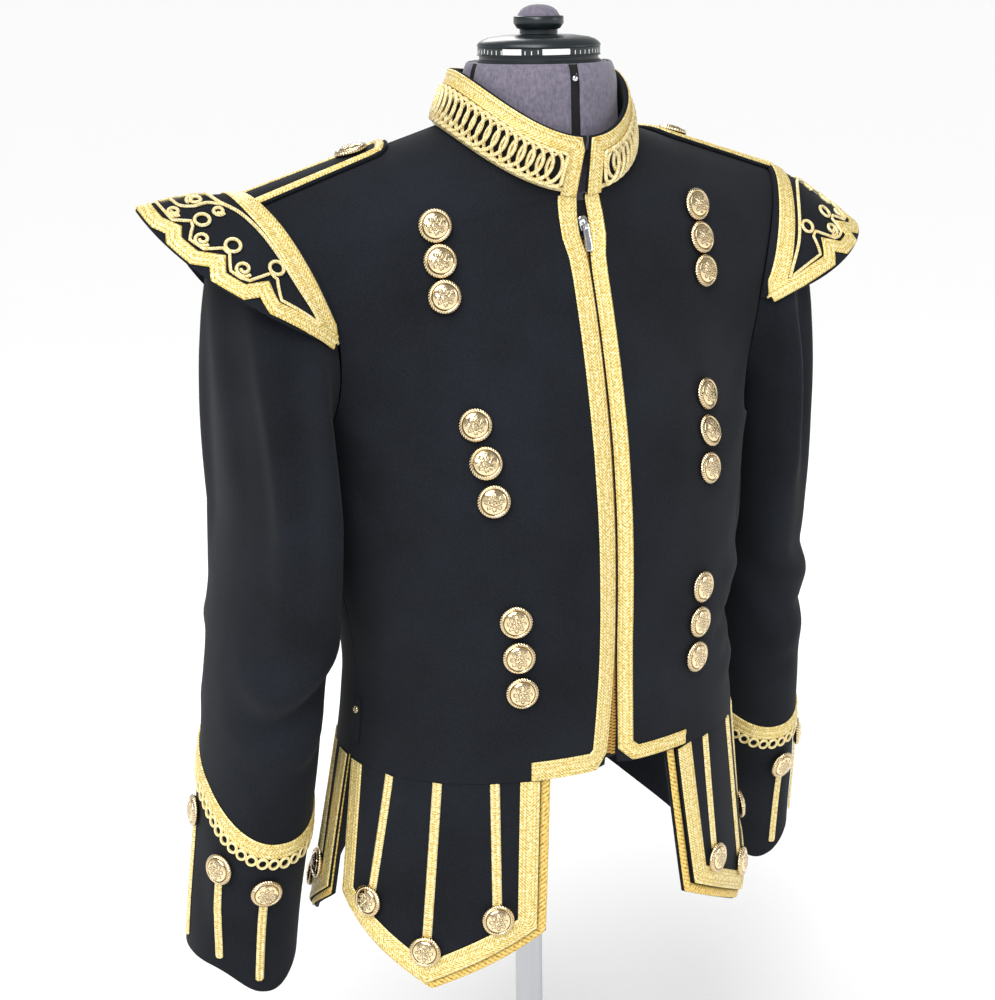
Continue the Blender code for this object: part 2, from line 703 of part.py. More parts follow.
def wing_outward(side):
    """Rough outward direction of a wing: up and away from the shoulder."""
    return lambda p: (side * 0.3, (p[1] - 0.004) * 8, 1.0)


def build_wings():
    """Two wings with the braid on them."""
    for label, side in SIDES:
        grid = wing_grid(WING[label])
        world = lifted_to_world(grid, side)
        mesh = grid_mesh("wing_" + label, world, wing_outward(side))
        thicken(add_piece("wing_" + label, mesh, "cloth"), WALL, inwards=False)
        out = np.zeros_like(grid)
        out[..., 0], out[..., 1], out[..., 2] = 0.3, (grid[..., 1] - 0.004) * 8, 1.0
        normal = normals(grid, out)
        top = lifted_to_world(moved(grid, normal, WALL + SEAM * 2), side)[:, 1:-1]
        columns = top.shape[1] - 1
        keep = [[i in (0, 3) or j < 1 or j >= columns - 1 for j in range(columns)] for i in range(5)]
        keep[4] = [False] * columns
        mesh = grid_mesh("wing_braid_" + label, top, wing_outward(side), keep=keep)
        thicken(add_piece("wing_braid_" + label, mesh, "braid"), BRAID_THICK, inwards=False)


def build_straps():
    """Two shoulder straps, each with a small button near its neck end."""
    grid = strap_grid()
    out = np.zeros_like(grid)
    out[..., 2] = 1
    normal = normals(grid, out)
    mesh_button = button_mesh("strap_button")
    for label, side in SIDES:
        mesh = grid_mesh("strap_" + label, lifted_to_world(grid, side), lambda p: (0, 0, 1))
        thicken(add_piece("strap_" + label, mesh, "cloth"), WALL, inwards=False)
        middle = grid[STRAP_ROWS, 0] * 0.55 + grid[STRAP_ROWS, 1] * 0.45
        place = middle + normal[STRAP_ROWS, 0] * (WALL + SEAM * 2)
        place = place * np.array([side, 1, 1]) + np.array([0, 0, HEM])
        turned = normal[STRAP_ROWS, 0] * np.array([side, 1, 1])
        add_piece("button_strap_" + label, mesh_button, "gilt", seated(place, turned))


# Joining closed shapes into one body
def joined(name, meshes, finish):
    """One closed piece from overlapping closed meshes."""
    holders = []
    for k, mesh in enumerate(meshes):
        holder = bpy.data.objects.new("%s_shape_%d" % (name, k), mesh)
        bpy.context.scene.collection.objects.link(holder)
        holders.append(holder)
    for other in holders[1:]:
        union = holders[0].modifiers.new(other.name, "BOOLEAN")
        union.operation = "UNION"
        union.object = other
    graph = bpy.context.evaluated_depsgraph_get()
    whole = bpy.data.meshes.new_from_object(holders[0].evaluated_get(graph))
    for holder in holders:
        bpy.data.objects.remove(holder, do_unlink=True)
    whole.name = name
    whole.materials.clear()
    return add_piece(name, whole, finish)


def walled(mesh, thickness, inwards=False):
    """A closed mesh from an open surface and its thickness."""
    holder = bpy.data.objects.new("wall_shape", mesh)
    bpy.context.scene.collection.objects.link(holder)
    thicken(holder, thickness, inwards)
    graph = bpy.context.evaluated_depsgraph_get()
    solid = bpy.data.meshes.new_from_object(holder.evaluated_get(graph))
    bpy.data.objects.remove(holder, do_unlink=True)
    return solid


def placed_copy(mesh, matrix):
    """A copy of a mesh with its place applied."""
    copy = mesh.copy()
    copy.transform(matrix)
    return copy


# Cuff braid: the slanted band, the looped edge under it, three bars and three buttons
CUFF_BAR_ROW, CUFF_BAR_REACH = 0.45, 2.2


def on_rings(rings, row, angle):
    """A point of a faceted tube at a fraction of its rows and an angle round it."""
    low = min(int(row), len(rings) - 2)
    column = angle / 360 * SLEEVE_SEGMENTS
    left = int(column)
    right = (left + 1) % SLEEVE_SEGMENTS
    near = rings[low, left] + (rings[low, right] - rings[low, left]) * (column - left)
    far = rings[low + 1, left] + (rings[low + 1, right] - rings[low + 1, left]) * (column - left)
    return near + (far - near) * (row - low)


def cuff_place(rings, row, angle, lift):
    """A point over a facet of the cuff, and the facet's direction away from the arm."""
    across = on_rings(rings, row, angle + 2) - on_rings(rings, row, angle - 2)
    along = on_rings(rings, row + 0.05, angle) - on_rings(rings, row - 0.05, angle)
    normal = np.cross(along, across)
    normal /= np.linalg.norm(normal)
    place = on_rings(rings, row, angle)
    if normal @ (place - rings[1].mean(axis=0)) < 0:
        normal = -normal
    return place + normal * lift, normal


def cuff_bar(rings, top_angle, low_angle, half_turn):
    """Rows of a bar on the cuff, from under the looped edge to near the open end."""
    depth = (cuff_line(low_angle, LOOP_DROP) - cuff_end(low_angle)) / 2
    end = 3 - CUFF_BAR_END / depth
    rows = []
    for row in (CUFF_BAR_ROW, 1.0, 2.0, end):
        angle = top_angle + (low_angle - top_angle) * (row - CUFF_BAR_ROW) / (end - CUFF_BAR_ROW)
        rows.append([cuff_place(rings, row, angle + turn, SEAM * 2.4)[0] for turn in (-half_turn, half_turn)])
    return np.array(rows)


def build_cuff_braid():
    """The braid and buttons of both cuffs, each cuff's in one piece."""
    button = button_mesh("cuff_button")
    cuff = np.array(cuff_rings())
    rings = np.array([ring(lambda a: cuff_line(a, -CUFF_BRAID)), ring(cuff_line),
                      ring(lambda a: cuff_line(a, LOOP_DROP))])
    rings = moved(rings, loop_normals(rings), SEAM)
    half_turn = math.degrees(BAR_WIDTH / 2 / 0.050)
    for label, side in SIDES:
        band = grid_mesh("band", lifted_to_world(rings, side), sleeve_outward(side), closed=True)
        shapes = [walled(band, BRAID_THICK)]
        flip = np.array([side, 1, 1])
        for top_angle, low_angle in CUFF_BARS:
            rows = lifted_to_world(cuff_bar(cuff, top_angle, low_angle, half_turn), side)
            shapes.append(walled(grid_mesh("bar", rows, sleeve_outward(side)), BRAID_THICK))
            depth = (cuff_line(top_angle, LOOP_DROP) - cuff_end(top_angle)) / 2
            row = 1 + (CUFF_BUTTON_DROP - LOOP_DROP) / depth
            angle = top_angle + (low_angle - top_angle) * (row - CUFF_BAR_ROW) / CUFF_BAR_REACH
            place, normal = cuff_place(cuff, row, angle, SEAM * 3)
            seat = seated(place * flip + np.array([0, 0, HEM]), normal * flip)
            shapes.append(placed_copy(button, seat))
        joined("cuff_braid_" + label, shapes, "braid")


# Skirt flaps hang from the hem. Their outline: distance along the hem and drop below it
FLAPS = {
    "front": {"near": 0.060, "far": 0.218, "near_low": 0.066, "far_low": 0.216, "tip": 0.52,
              "near_drop": 0.117, "far_drop": 0.105, "tip_drop": 0.158, "flare": (0.02, 0.12)},
    "back": {"near": 0.110, "far": 0.220, "near_low": 0.118, "far_low": 0.222, "tip": 0.56,
             "near_drop": 0.086, "far_drop": 0.105, "tip_drop": 0.145, "flare": (0.06, 0.20)},
}
FLAP_SWING = {"R": 0.0, "L": 0.018}
UNDER_NEAR, UNDER_FAR, UNDER_DROP = 0.009, 0.001, 0.006
UNDER_GAP = {"front": 0.0020, "back": 0.0011}
UNDER_GAP_LOW = 0.0007
# Bars on a flap: share of its width at the waist and at the button; the middle one ends over the tip
FLAP_BARS = ((0.21, 0.19), (0.475, None), (0.72, 0.80))
FLAP_BUTTON_RISE = 0.0265
# Columns of a flap's grid that carry the border and the bars
FLAP_BRAID_CELLS = (0, 2, 4, 5, 7, 9)


def hem_curve(front):
    """The hem from the centre line to the side seam, with the distance along it."""
    row = trunk_row(0.0, front, gap=False)
    return row, np.concatenate([[0], np.cumsum(np.linalg.norm(np.diff(row, axis=0), axis=1))])


HEM_CURVES = {"front": hem_curve(True), "back": hem_curve(False)}


def hem_point(place, along):
    """A point of the hem at a distance from the centre line, and its outward direction."""
    row, run = HEM_CURVES[place]
    step = 0.004
    inside = float(np.clip(along, step, run[-1] - step))
    low = np.array([np.interp(inside - step, run, row[:, k]) for k in range(3)])
    high = np.array([np.interp(inside + step, run, row[:, k]) for k in range(3)])
    tangent = (high - low) / np.linalg.norm(high - low)
    out = np.array([tangent[1], -tangent[0], 0]) * (1 if place == "front" else -1)
    middle = (low + high) / 2
    return middle + tangent * (along - inside), out


def flap_point(place, share, drop, lift, swing=0.0, grow=(0.0, 0.0)):
    """A point of a flap by its share of the width and its drop."""
    flap = FLAPS[place]
    sink = drop / flap["tip_drop"]
    near = flap["near"] + (flap["near_low"] + swing - flap["near"]) * sink - grow[0]
    far = flap["far"] + (flap["far_low"] - flap["far"]) * sink + grow[1]
    along = near + (far - near) * share
    point, out = hem_point(place, along)
    low, high = flap["flare"]
    flare = (low + (high - low) * np.clip((along - 0.06) / 0.15, 0, 1)) * drop
    return point + out * (lift + flare) + np.array([0, 0, -SEAM * 1.5 - drop])


def flap_drop(place, share):
    """How far the flap's pointed lower edge hangs at a share of its width."""
    flap = FLAPS[place]
    if share <= flap["tip"]:
        return flap["near_drop"] + (flap["tip_drop"] - flap["near_drop"]) * share / flap["tip"]
    return flap["far_drop"] + (flap["tip_drop"] - flap["far_drop"]) * (1 - share) / (1 - flap["tip"])


def bar_share(place, bar, drop):
    """Share of the flap's width at the middle of a bar, at a drop below the waist."""
    top, low = FLAP_BARS[bar]
    low = FLAPS[place]["tip"] if low is None else low
    seat = flap_drop(place, low) - FLAP_BUTTON_RISE
    return top + (low - top) * min(1.0, drop / seat)


def flap_columns(place, part):
    """Shares of the width of a row's columns: border, three bars, border."""
    flap = FLAPS[place]
    width = flap["far"] - flap["near"]
    border, half = BRAID_WIDTH / width, BAR_WIDTH / 2 / width
    first, middle, last = (bar_share(place, bar, part * flap["tip_drop"]) for bar in range(3))
    return [0, border, first - half, first + half, middle - half, middle, middle + half,
            last - half, last + half, 1 - border, 1]


def flap_grid(place, lift, swing):
    """Outer surface of a flap, its border and bars in columns of their own."""
    rows = []
    for part in (0.0, 0.35, 0.70, None, 1.0):
        row = []
        for share in flap_columns(place, 1.0 if part is None else part):
            full = flap_drop(place, share)
            drop = full - BRAID_WIDTH * 1.1 if part is None else full * part
            row.append(flap_point(place, share, drop, lift, swing))
        rows.append(row)
    return np.array(rows)


def under_grid(place, swing):
    """Outer surface of the larger flap under it."""
    tip = FLAPS[place]["tip"]
    rows = []
    for part in (0.0, 0.35, 0.70, 0.90, 1.0):
        row = []
        for share in (0, tip / 3, tip * 2 / 3, tip, (1 + tip * 2) / 3, (2 + tip) / 3, 1):
            drop = (flap_drop(place, share) + UNDER_DROP) * part
            lift = -WALL - UNDER_GAP[place] - UNDER_GAP_LOW * part
            row.append(flap_point(place, share, drop + SEAM, lift, swing, (UNDER_NEAR, UNDER_FAR)))
        rows.append(row)
    return np.array(rows)


def flap_outward(place):
    """Rough outward direction of a flap."""
    return away_from(0, 0.03 if place == "front" else -0.04)


def build_flaps():
    """Two flaps a quarter: the outer one and the slightly larger one under it."""
    for place in FLAPS:
        for label, side in SIDES:
            swing = FLAP_SWING[label]
            outer, under = flap_grid(place, 0.0, swing), under_grid(place, swing)
            name = "flap_%s_%s" % (place, label)
            mesh = grid_mesh(name, lifted_to_world(outer, side), flap_outward(place))
            thicken(add_piece(name, mesh, "cloth"), WALL)
            mesh = grid_mesh(name + "_under", lifted_to_world(under, side), flap_outward(place))
            thicken(add_piece(name + "_under", mesh, "cloth"), WALL)


def flap_seat(place, bar, swing):
    """Where the button at the end of a bar sits on its flap, and the way it faces."""
    low = FLAP_BARS[bar][1] or FLAPS[place]["tip"]
    drop = flap_drop(place, low) - FLAP_BUTTON_RISE
    centre = flap_point(place, low, drop, 0.0, swing)
    across = flap_point(place, low + 0.04, drop, 0.0, swing) - flap_point(place, low - 0.04, drop, 0.0, swing)
    down = flap_point(place, low, drop + 0.01, 0.0, swing) - centre
    normal = np.cross(across, down)
    normal *= np.sign(normal @ hem_point(place, 0.14)[1]) / np.linalg.norm(normal)
    return centre + normal * SEAM * 3, normal


def build_flap_braid():
    """Border, three bars and three buttons of each outer flap, in one piece."""
    button = button_mesh("flap_button")
    for place in FLAPS:
        for label, side in SIDES:
            swing = FLAP_SWING[label]
            grid = lifted_to_world(flap_grid(place, SEAM * 1.5, swing), side)
            keep = [[i == 3 or j in FLAP_BRAID_CELLS for j in range(10)] for i in range(4)]
            band = grid_mesh("band", grid, flap_outward(place), keep=keep)
            shapes = [walled(band, BRAID_THICK)]
            flip = np.array([side, 1, 1])
            for bar in range(3):
                centre, normal = flap_seat(place, bar, swing)
                seat = seated(centre * flip + np.array([0, 0, HEM]), normal * flip)
                shapes.append(placed_copy(button, seat))
            joined("flap_braid_%s_%s" % (place, label), shapes, "braid")


# Zip: tape behind the front edges, a slider near its top and a pull tab that hangs from it
TAPE_HALF, TAPE_THICK = 0.0105, 0.0009
TAPE_LEVELS = (0.004, 0.060, 0.112, 0.170, 0.226, 0.275, 0.315, 0.350, 0.383, 0.408)
SLIDER = {"width": 0.0070, "length": 0.0105, "depth": 0.0040}
SLIDER_SEAT = 0.0005
CROWN = {"width": 0.0020, "length": 0.0046, "height": 0.0032, "wall": 0.0008}
PULL = {"width": 0.0056, "length": 0.0210, "thick": 0.0012, "eye_width": 0.0028, "eye_length": 0.0042}


def centre_front(height):
    """Depth of the front edges at a height, the roll over the zip included."""
    table = BODY_TABLE if height <= ARMPIT else CENTRE_TABLE
    return follow(table, "front_y", height) + EDGE_ROLL


def zip_frame(height):
    """Matrix at the tape's face: X across, Y up along the tape and Z out of the chest."""
    step = 0.008
    up = Vector((0, centre_front(height + step) - centre_front(height - step), 2 * step)).normalized()
    across = Vector((1, 0, 0))
    out = across.cross(up)
    face = Vector((0, centre_front(height) + WALL + SEAM * 3, HEM + height))
    turn = Matrix((across, up, out)).transposed().to_4x4()
    return Matrix.Translation(face) @ turn


def box_mesh(name, size, centre):
    """A box from the cube primitive, in a local frame."""
    shape = bmesh.new()
    bmesh.ops.create_cube(shape, size=1, matrix=Matrix.Translation(centre) @ Matrix.Diagonal((*size, 1)))
    mesh = bpy.data.meshes.new(name)
    shape.to_mesh(mesh)
    shape.free()
    return mesh


def bored(mesh, cutter):
    """A mesh with another one cut out of it."""
    holders = []
    for part in (mesh, cutter):
        holder = bpy.data.objects.new("cut_shape", part)
        bpy.context.scene.collection.objects.link(holder)
        holders.append(holder)
    cut = holders[0].modifiers.new("cut", "BOOLEAN")
    cut.operation = "DIFFERENCE"
    cut.object = holders[1]
    graph = bpy.context.evaluated_depsgraph_get()
    whole = bpy.data.meshes.new_from_object(holders[0].evaluated_get(graph))
    for holder in holders:
        bpy.data.objects.remove(holder, do_unlink=True)
    return whole


def build_zip():
    """Tape, slider with its crown, and the pull tab on the crown."""
    rows = []
    for h in TAPE_LEVELS:
        rows.append([(x, centre_front(h) + WALL + SEAM * 3, h) for x in (-TAPE_HALF, 0, TAPE_HALF)])
    mesh = grid_mesh("zip_tape", lifted_to_world(np.array(rows), 1), lambda p: (0, -1, 0))
    thicken(add_piece("zip_tape", mesh, "tape"), TAPE_THICK)

    frame = zip_frame(SLIDER_H)
    body = box_mesh("body", (SLIDER["width"], SLIDER["length"], SLIDER["depth"]),
                    (0, 0, SLIDER_SEAT + SLIDER["depth"] / 2))
    crown_z = SLIDER_SEAT + SLIDER["depth"] + CROWN["height"] / 2
    crown_size = (CROWN["width"], CROWN["length"], CROWN["height"] + 0.001)
    crown = box_mesh("crown", crown_size, (0, 0, crown_z - 0.0005))
    window = box_mesh("window", (0.01, CROWN["length"] - 2 * CROWN["wall"], CROWN["height"] - CROWN["wall"]),
                      (0, 0, crown_z - CROWN["wall"] / 2))
    arch = bored(crown, window)
    slider = joined("zip_slider", [body, arch], "nickel")
    slider.matrix_world = frame

    hinge_z = SLIDER_SEAT + SLIDER["depth"] + (CROWN["height"] - CROWN["wall"]) / 2
    low = PULL["thick"] / 2 - PULL["length"]
    plate = box_mesh("plate", (PULL["width"], PULL["length"], PULL["thick"]),
                     (0, low + PULL["length"] / 2, 0))
    eye = box_mesh("eye", (PULL["eye_width"], PULL["eye_length"], 0.01),
                   (0, -PULL["thick"] / 2 - PULL["eye_length"] / 2, 0))
    pull = add_piece("zip_pull", bored(plate, eye), "nickel")
    pull.matrix_world = frame @ Matrix.Translation((0, 0, hinge_z))


# Small tabs beside the side seams at the waist, on the front panel's last facets
TAB_ROWS = ((1, 2, 0.0), (1, 2, 1.0), (2, 3, 0.5))
TAB_EDGES = (0.014, 0.003)
TAB_THICK = 0.0016


def tab_point(low, high, share, inset):
    """A point of the front panel between two of its rows, at a distance from its side edge."""
    ends = []
    for row in (low, high):
        step = FRONT[row, -2] - FRONT[row, -1]
        ends.append(FRONT[row, -1] + step / np.linalg.norm(step) * inset)
    normal = FRONT_NORMALS[low, -1] + FRONT_NORMALS[low, -2]
    normal /= np.linalg.norm(normal)
    return ends[0] + (ends[1] - ends[0]) * share + normal * SEAM * 2, normal


def build_side_tabs():
    """A studded tab at each side of the waist."""
    rows = np.array([[tab_point(*row, inset)[0] for inset in TAB_EDGES] for row in TAB_ROWS])
    middle, out = tab_point(2, 3, 0.25, sum(TAB_EDGES) / 2)
    for label, side in SIDES:
        mesh = grid_mesh("side_tab_" + label, lifted_to_world(rows, side), away_from(0, 0))
        tab = walled(mesh, TAB_THICK)
        flip = np.array([side, 1, 1])
        stud = bmesh.new()
        place = seated((middle + out * 0.0020) * flip + np.array([0, 0, HEM]), out * flip)
        bmesh.ops.create_cone(stud, cap_ends=True, segments=10, radius1=0.003, radius2=0.002,
                              depth=0.003, matrix=place)
        stud_mesh = bpy.data.meshes.new("stud")
        stud.to_mesh(stud_mesh)
        stud.free()
        joined("side_tab_" + label, [tab, stud_mesh], "cloth")


# The dress form
FORM_LEVELS = (0.012, 0.060, 0.112, 0.170, 0.226)
FORM_STATIONS = (0.0, -0.2, -0.4, -0.6, -0.8, -1.0)
FORM_SHOULDER_STATIONS = (0.0, -0.2, -0.4, -0.6, -0.78, -0.93)
FORM_NECK_CLEAR = 0.0045
FORM_SKIP = (130, 144, 189)
FORM_CLEAR = {"front": 0.0074, "back": 0.0030, "shoulder": 0.0006}
NECK_CENTRE_Y = -0.027
NECK_RINGS = ((0.0540, 0.450), (0.0530, 0.495), (0.0500, 0.5015))
CAP_PROFILE = ((0.0, 0.5205), (0.030, 0.5195), (0.0405, 0.5165), (0.0440, 0.5135), (0.0440, 0.5065),
               (0.0425, 0.5060), (0.0425, 0.5035), (0.0440, 0.5030), (0.0440, 0.5018), (0.0, 0.5018))
KNOB_PROFILE = ((0.0, 0.5410), (0.0070, 0.5402), (0.0125, 0.5375), (0.0150, 0.5335), (0.0178, 0.5325),
                (0.0178, 0.5275), (0.0155, 0.5245), (0.0135, 0.5240), (0.0135, 0.5208), (0.0, 0.5208))
BASE_RADIUS, BASE_HEIGHT, POLE_RADIUS = 0.150, 0.016, 0.0110


def form_side(front):
    """Rows of the form's front or back half on the wearer's left, inside the cloth."""
    rows = [spaced(trunk_row(h, front, False), FORM_STATIONS) for h in FORM_LEVELS]
    table = [row for row in (FRONT_ROWS if front else BACK_ROWS) if row["arm"] not in FORM_SKIP]
    rows += [spaced(upper_row(row, front, False), FORM_SHOULDER_STATIONS) for row in table]
    grid = np.array(rows)
    normal = normals(grid, outward_field(grid))
    count = len(rows)
    clear = FORM_CLEAR["front" if front else "back"]
    neck = np.array([0, NECK["centre_y"], 0])
    depth = np.array([clear if k < count - 6 else
                      clear + (FORM_CLEAR["shoulder"] - clear) * (k - count + 6) / 3 for k in range(count)])
    depth = np.maximum(depth, FORM_CLEAR["shoulder"]) + WALL
    inner = grid - normal * depth[:, None, None]
    inner[-1] = grid[-1] - np.array([0, 0, 1]) * depth[-1] * 1.25
    flat = np.abs(grid[:, 0, 0]) < 0.0045
    inner[flat, 0, 0] = 0.0
    round_neck_rows = ~flat
    away = (inner[:, 0] - neck) * np.array([1, 1, 0])
    away /= np.linalg.norm(away, axis=1, keepdims=True)
    inner[round_neck_rows, 0] -= away[round_neck_rows] * FORM_NECK_CLEAR
    return inner


def build_form():
    """Body and neck of the form as one closed shell, from the cloth's own rows moved in."""
    front, back = form_side(True), form_side(False)
    back[-1] = front[-1]
    rows = np.concatenate([front, back[:, ::-1]], axis=1)
    shape = bmesh.new()
    for side in (-1, 1):
        world = lifted_to_world(rows, side)
        points = [[shape.verts.new(p) for p in row] for row in world]
        for i in range(len(points) - 1):
            for j in range(len(points[0]) - 1):
                shape.faces.new((points[i][j], points[i][j + 1], points[i + 1][j + 1], points[i + 1][j]))
    bmesh.ops.remove_doubles(shape, verts=shape.verts, dist=0.0002)
    bmesh.ops.dissolve_degenerate(shape, edges=shape.edges, dist=0.0001)
    edges = [e for e in shape.edges if e.is_boundary]
    neck = [e for e in edges if min(v.co.z for v in e.verts) > HEM + 0.3]
    below = [e for e in edges if e not in neck]
    bmesh.ops.holes_fill(shape, edges=below, sides=0)
    loop = neck
    for radius, height in NECK_RINGS:
        made = bmesh.ops.extrude_edge_only(shape, edges=loop)["geom"]
        verts = [g for g in made if isinstance(g, bmesh.types.BMVert)]
        for v in verts:
            away = Vector((v.co.x, v.co.y - NECK_CENTRE_Y, 0)).normalized()
            level = max(HEM + height, v.co.z + 0.006)
            v.co = Vector((0, NECK_CENTRE_Y, level)) + away * radius
        loop = [g for g in made if isinstance(g, bmesh.types.BMEdge) and g.is_boundary]
    bmesh.ops.holes_fill(shape, edges=loop, sides=0)
    bmesh.ops.recalc_face_normals(shape, faces=shape.faces)
    mesh = bpy.data.meshes.new("form_torso")
    shape.to_mesh(mesh)
    shape.free()
    mesh.shade_smooth()
    add_piece("form_torso", mesh, "jersey")


def turned(name, profile, steps, finish, y):
    """A turned piece from its profile, standing on the given centre line."""
    mesh = bpy.data.meshes.new(name)
    mesh.from_pydata([(r, 0, h) for r, h in profile], [(i, i + 1) for i in range(len(profile) - 1)], [])
    piece = add_piece(name, mesh, finish)
    piece.location = (0, y, 0)
    screw = piece.modifiers.new("turn", "SCREW")
    screw.steps = screw.render_steps = steps
    screw.use_merge_vertices = True
    screw.merge_threshold = 0.00005
    return piece


def build_stand():
    """Neck cap, its knob, and the pole on its round base."""
    turned("form_cap", [(r, h + HEM) for r, h in CAP_PROFILE], 28, "plastic", NECK_CENTRE_Y)
    turned("form_knob", [(r, h + HEM) for r, h in KNOB_PROFILE], 20, "plastic", NECK_CENTRE_Y)
    top = HEM + FORM_LEVELS[0] - SEAM
    profile = [(0.0, top), (POLE_RADIUS, top), (POLE_RADIUS, BASE_HEIGHT + 0.006),
               (0.030, BASE_HEIGHT + 0.002), (BASE_RADIUS - 0.010, BASE_HEIGHT),
               (BASE_RADIUS, BASE_HEIGHT - 0.008), (BASE_RADIUS, 0.0), (0.0, 0.0)]
    turned("form_stand", profile, 32, "steel", 0.0)


def main():
    """Build every piece."""
    build_trunk()
    build_front_braid()
    build_collar()
    build_sleeves()
    build_cuff_braid()
    build_chest_buttons()
    build_wings()
    build_straps()
    build_flaps()
    build_flap_braid()
    build_zip()
    build_side_tabs()
    build_form()
    build_stand()


main()
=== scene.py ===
"""Military doublet on a limbless dress form: the looks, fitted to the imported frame.

Lengths are metres, +Z is up and the garment faces -Y. _R and _L are the wearer's right and left.
Heights in the tables are above the waist hem, which is HEM above the floor.
"""
import json
import logging
import math
from collections.abc import Callable, Sequence
from dataclasses import dataclass, field
from enum import Enum

import bmesh
import bpy
import numpy as np
from mathutils import Matrix, Vector
from mathutils.bvhtree import BVHTree

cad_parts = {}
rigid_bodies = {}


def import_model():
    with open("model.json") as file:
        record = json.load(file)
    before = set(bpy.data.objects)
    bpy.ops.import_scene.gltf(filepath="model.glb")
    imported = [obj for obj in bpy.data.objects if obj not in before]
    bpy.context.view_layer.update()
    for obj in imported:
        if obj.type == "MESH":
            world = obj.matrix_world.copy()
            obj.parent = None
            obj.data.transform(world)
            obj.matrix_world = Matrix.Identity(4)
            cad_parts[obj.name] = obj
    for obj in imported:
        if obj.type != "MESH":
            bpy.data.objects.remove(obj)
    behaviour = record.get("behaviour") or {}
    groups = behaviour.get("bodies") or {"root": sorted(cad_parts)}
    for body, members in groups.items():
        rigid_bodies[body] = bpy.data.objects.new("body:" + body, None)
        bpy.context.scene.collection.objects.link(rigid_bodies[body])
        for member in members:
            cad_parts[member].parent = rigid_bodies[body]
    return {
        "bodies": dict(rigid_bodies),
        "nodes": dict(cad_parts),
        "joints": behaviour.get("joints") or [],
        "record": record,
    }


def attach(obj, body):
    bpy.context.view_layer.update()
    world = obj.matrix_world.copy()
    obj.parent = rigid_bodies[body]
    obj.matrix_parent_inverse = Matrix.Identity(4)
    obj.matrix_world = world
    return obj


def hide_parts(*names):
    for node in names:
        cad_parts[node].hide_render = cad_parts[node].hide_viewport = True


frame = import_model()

LOG = logging.getLogger("doublet")
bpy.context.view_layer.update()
BODY = "stand_and_doublet"
PULL_BODY = "pull_tab"
HEM = 0.42
WALL = 0.0022
SEAM = 0.0003
BRAID_WIDTH = 0.0145
BRAID_THICK = 0.0012
UP = np.array([0.0, 0.0, HEM])
Array = np.ndarray


class Side(Enum):
    """The wearer's right and left, with the sign of their X."""

    R = -1.0
    L = 1.0

    @property
    def flip(self) -> Array:
        """Factors that carry a point of the left side to this side."""
        return np.array([self.value, 1.0, 1.0])


# Materials
def linear(colour: str) -> tuple[float, float, float, float]:
    """Turn an sRGB hex colour into linear values.

    Args:
        colour: six hex digits after a number sign.

    Returns:
        Red, green, blue and an alpha of one.
    """
    parts = [int(colour[i:i + 2], 16) / 255 for i in (1, 3, 5)]
    return tuple(p / 12.92 if p <= 0.04045 else ((p + 0.055) / 1.055) ** 2.4 for p in parts) + (1.0,)


def add(tree: bpy.types.NodeTree, kind: str, props: dict | None = None, inputs: dict | None = None) -> bpy.types.Node:
    """Add a node with its settings, and its inputs as values or links.

    Args:
        tree: the tree it goes in.
        kind: the node's type.
        props: its settings by name.
        inputs: its inputs by name or number, each a value or a socket to link from.

    Returns:
        The node.
    """
    node = tree.nodes.new(kind)
    for name, value in (props or {}).items():
        setattr(node, name, value)
    for name, value in (inputs or {}).items():
        if isinstance(value, bpy.types.NodeSocket):
            tree.links.new(value, node.inputs[name])
        else:
            node.inputs[name].default_value = value
    return node


def maths(tree: bpy.types.NodeTree, operation: str, *values: object) -> bpy.types.NodeSocket:
    """Add a Math node and return its output."""
    return add(tree, "ShaderNodeMath", {"operation": operation}, dict(enumerate(values))).outputs[0]


@dataclass(frozen=True)
class Finish:
    """A material named for what the real one is, with the constants of its shader."""

    name: str
    colour: str
    roughness: float
    metallic: float = 0.0
    extra: tuple[tuple[str, object], ...] = ()

    def shader(self) -> tuple[bpy.types.Material, bpy.types.NodeTree, bpy.types.Node]:
        """Start the material.

        Returns:
            The material, its tree and its Principled shader.
        """
        made = bpy.data.materials.new(self.name)
        made.use_nodes = True
        tree = made.node_tree
        shader = tree.nodes["Principled BSDF"]
        shader.inputs["Base Color"].default_value = linear(self.colour)
        shader.inputs["Roughness"].default_value = self.roughness
        shader.inputs["Metallic"].default_value = self.metallic
        for name, value in self.extra:
            shader.inputs[name].default_value = value
        return made, tree, shader

    def dress(self, tree: bpy.types.NodeTree, shader: bpy.types.Node) -> None:
        """Add the pattern of the surface; a plain finish has fine grain only."""
        place = add(tree, "ShaderNodeTexCoord").outputs["Object"]
        grain = add(tree, "ShaderNodeTexNoise", None, {"Vector": place, "Scale": 900.0, "Detail": 3.0})
        bump = add(tree, "ShaderNodeBump", None,
                   {"Height": grain.outputs["Fac"], "Distance": 0.0002, "Strength": 0.15})
        tree.links.new(bump.outputs["Normal"], shader.inputs["Normal"])

    def build(self) -> bpy.types.Material:
        """Make the material with its pattern."""
        made, tree, shader = self.shader()
        self.dress(tree, shader)
        return made


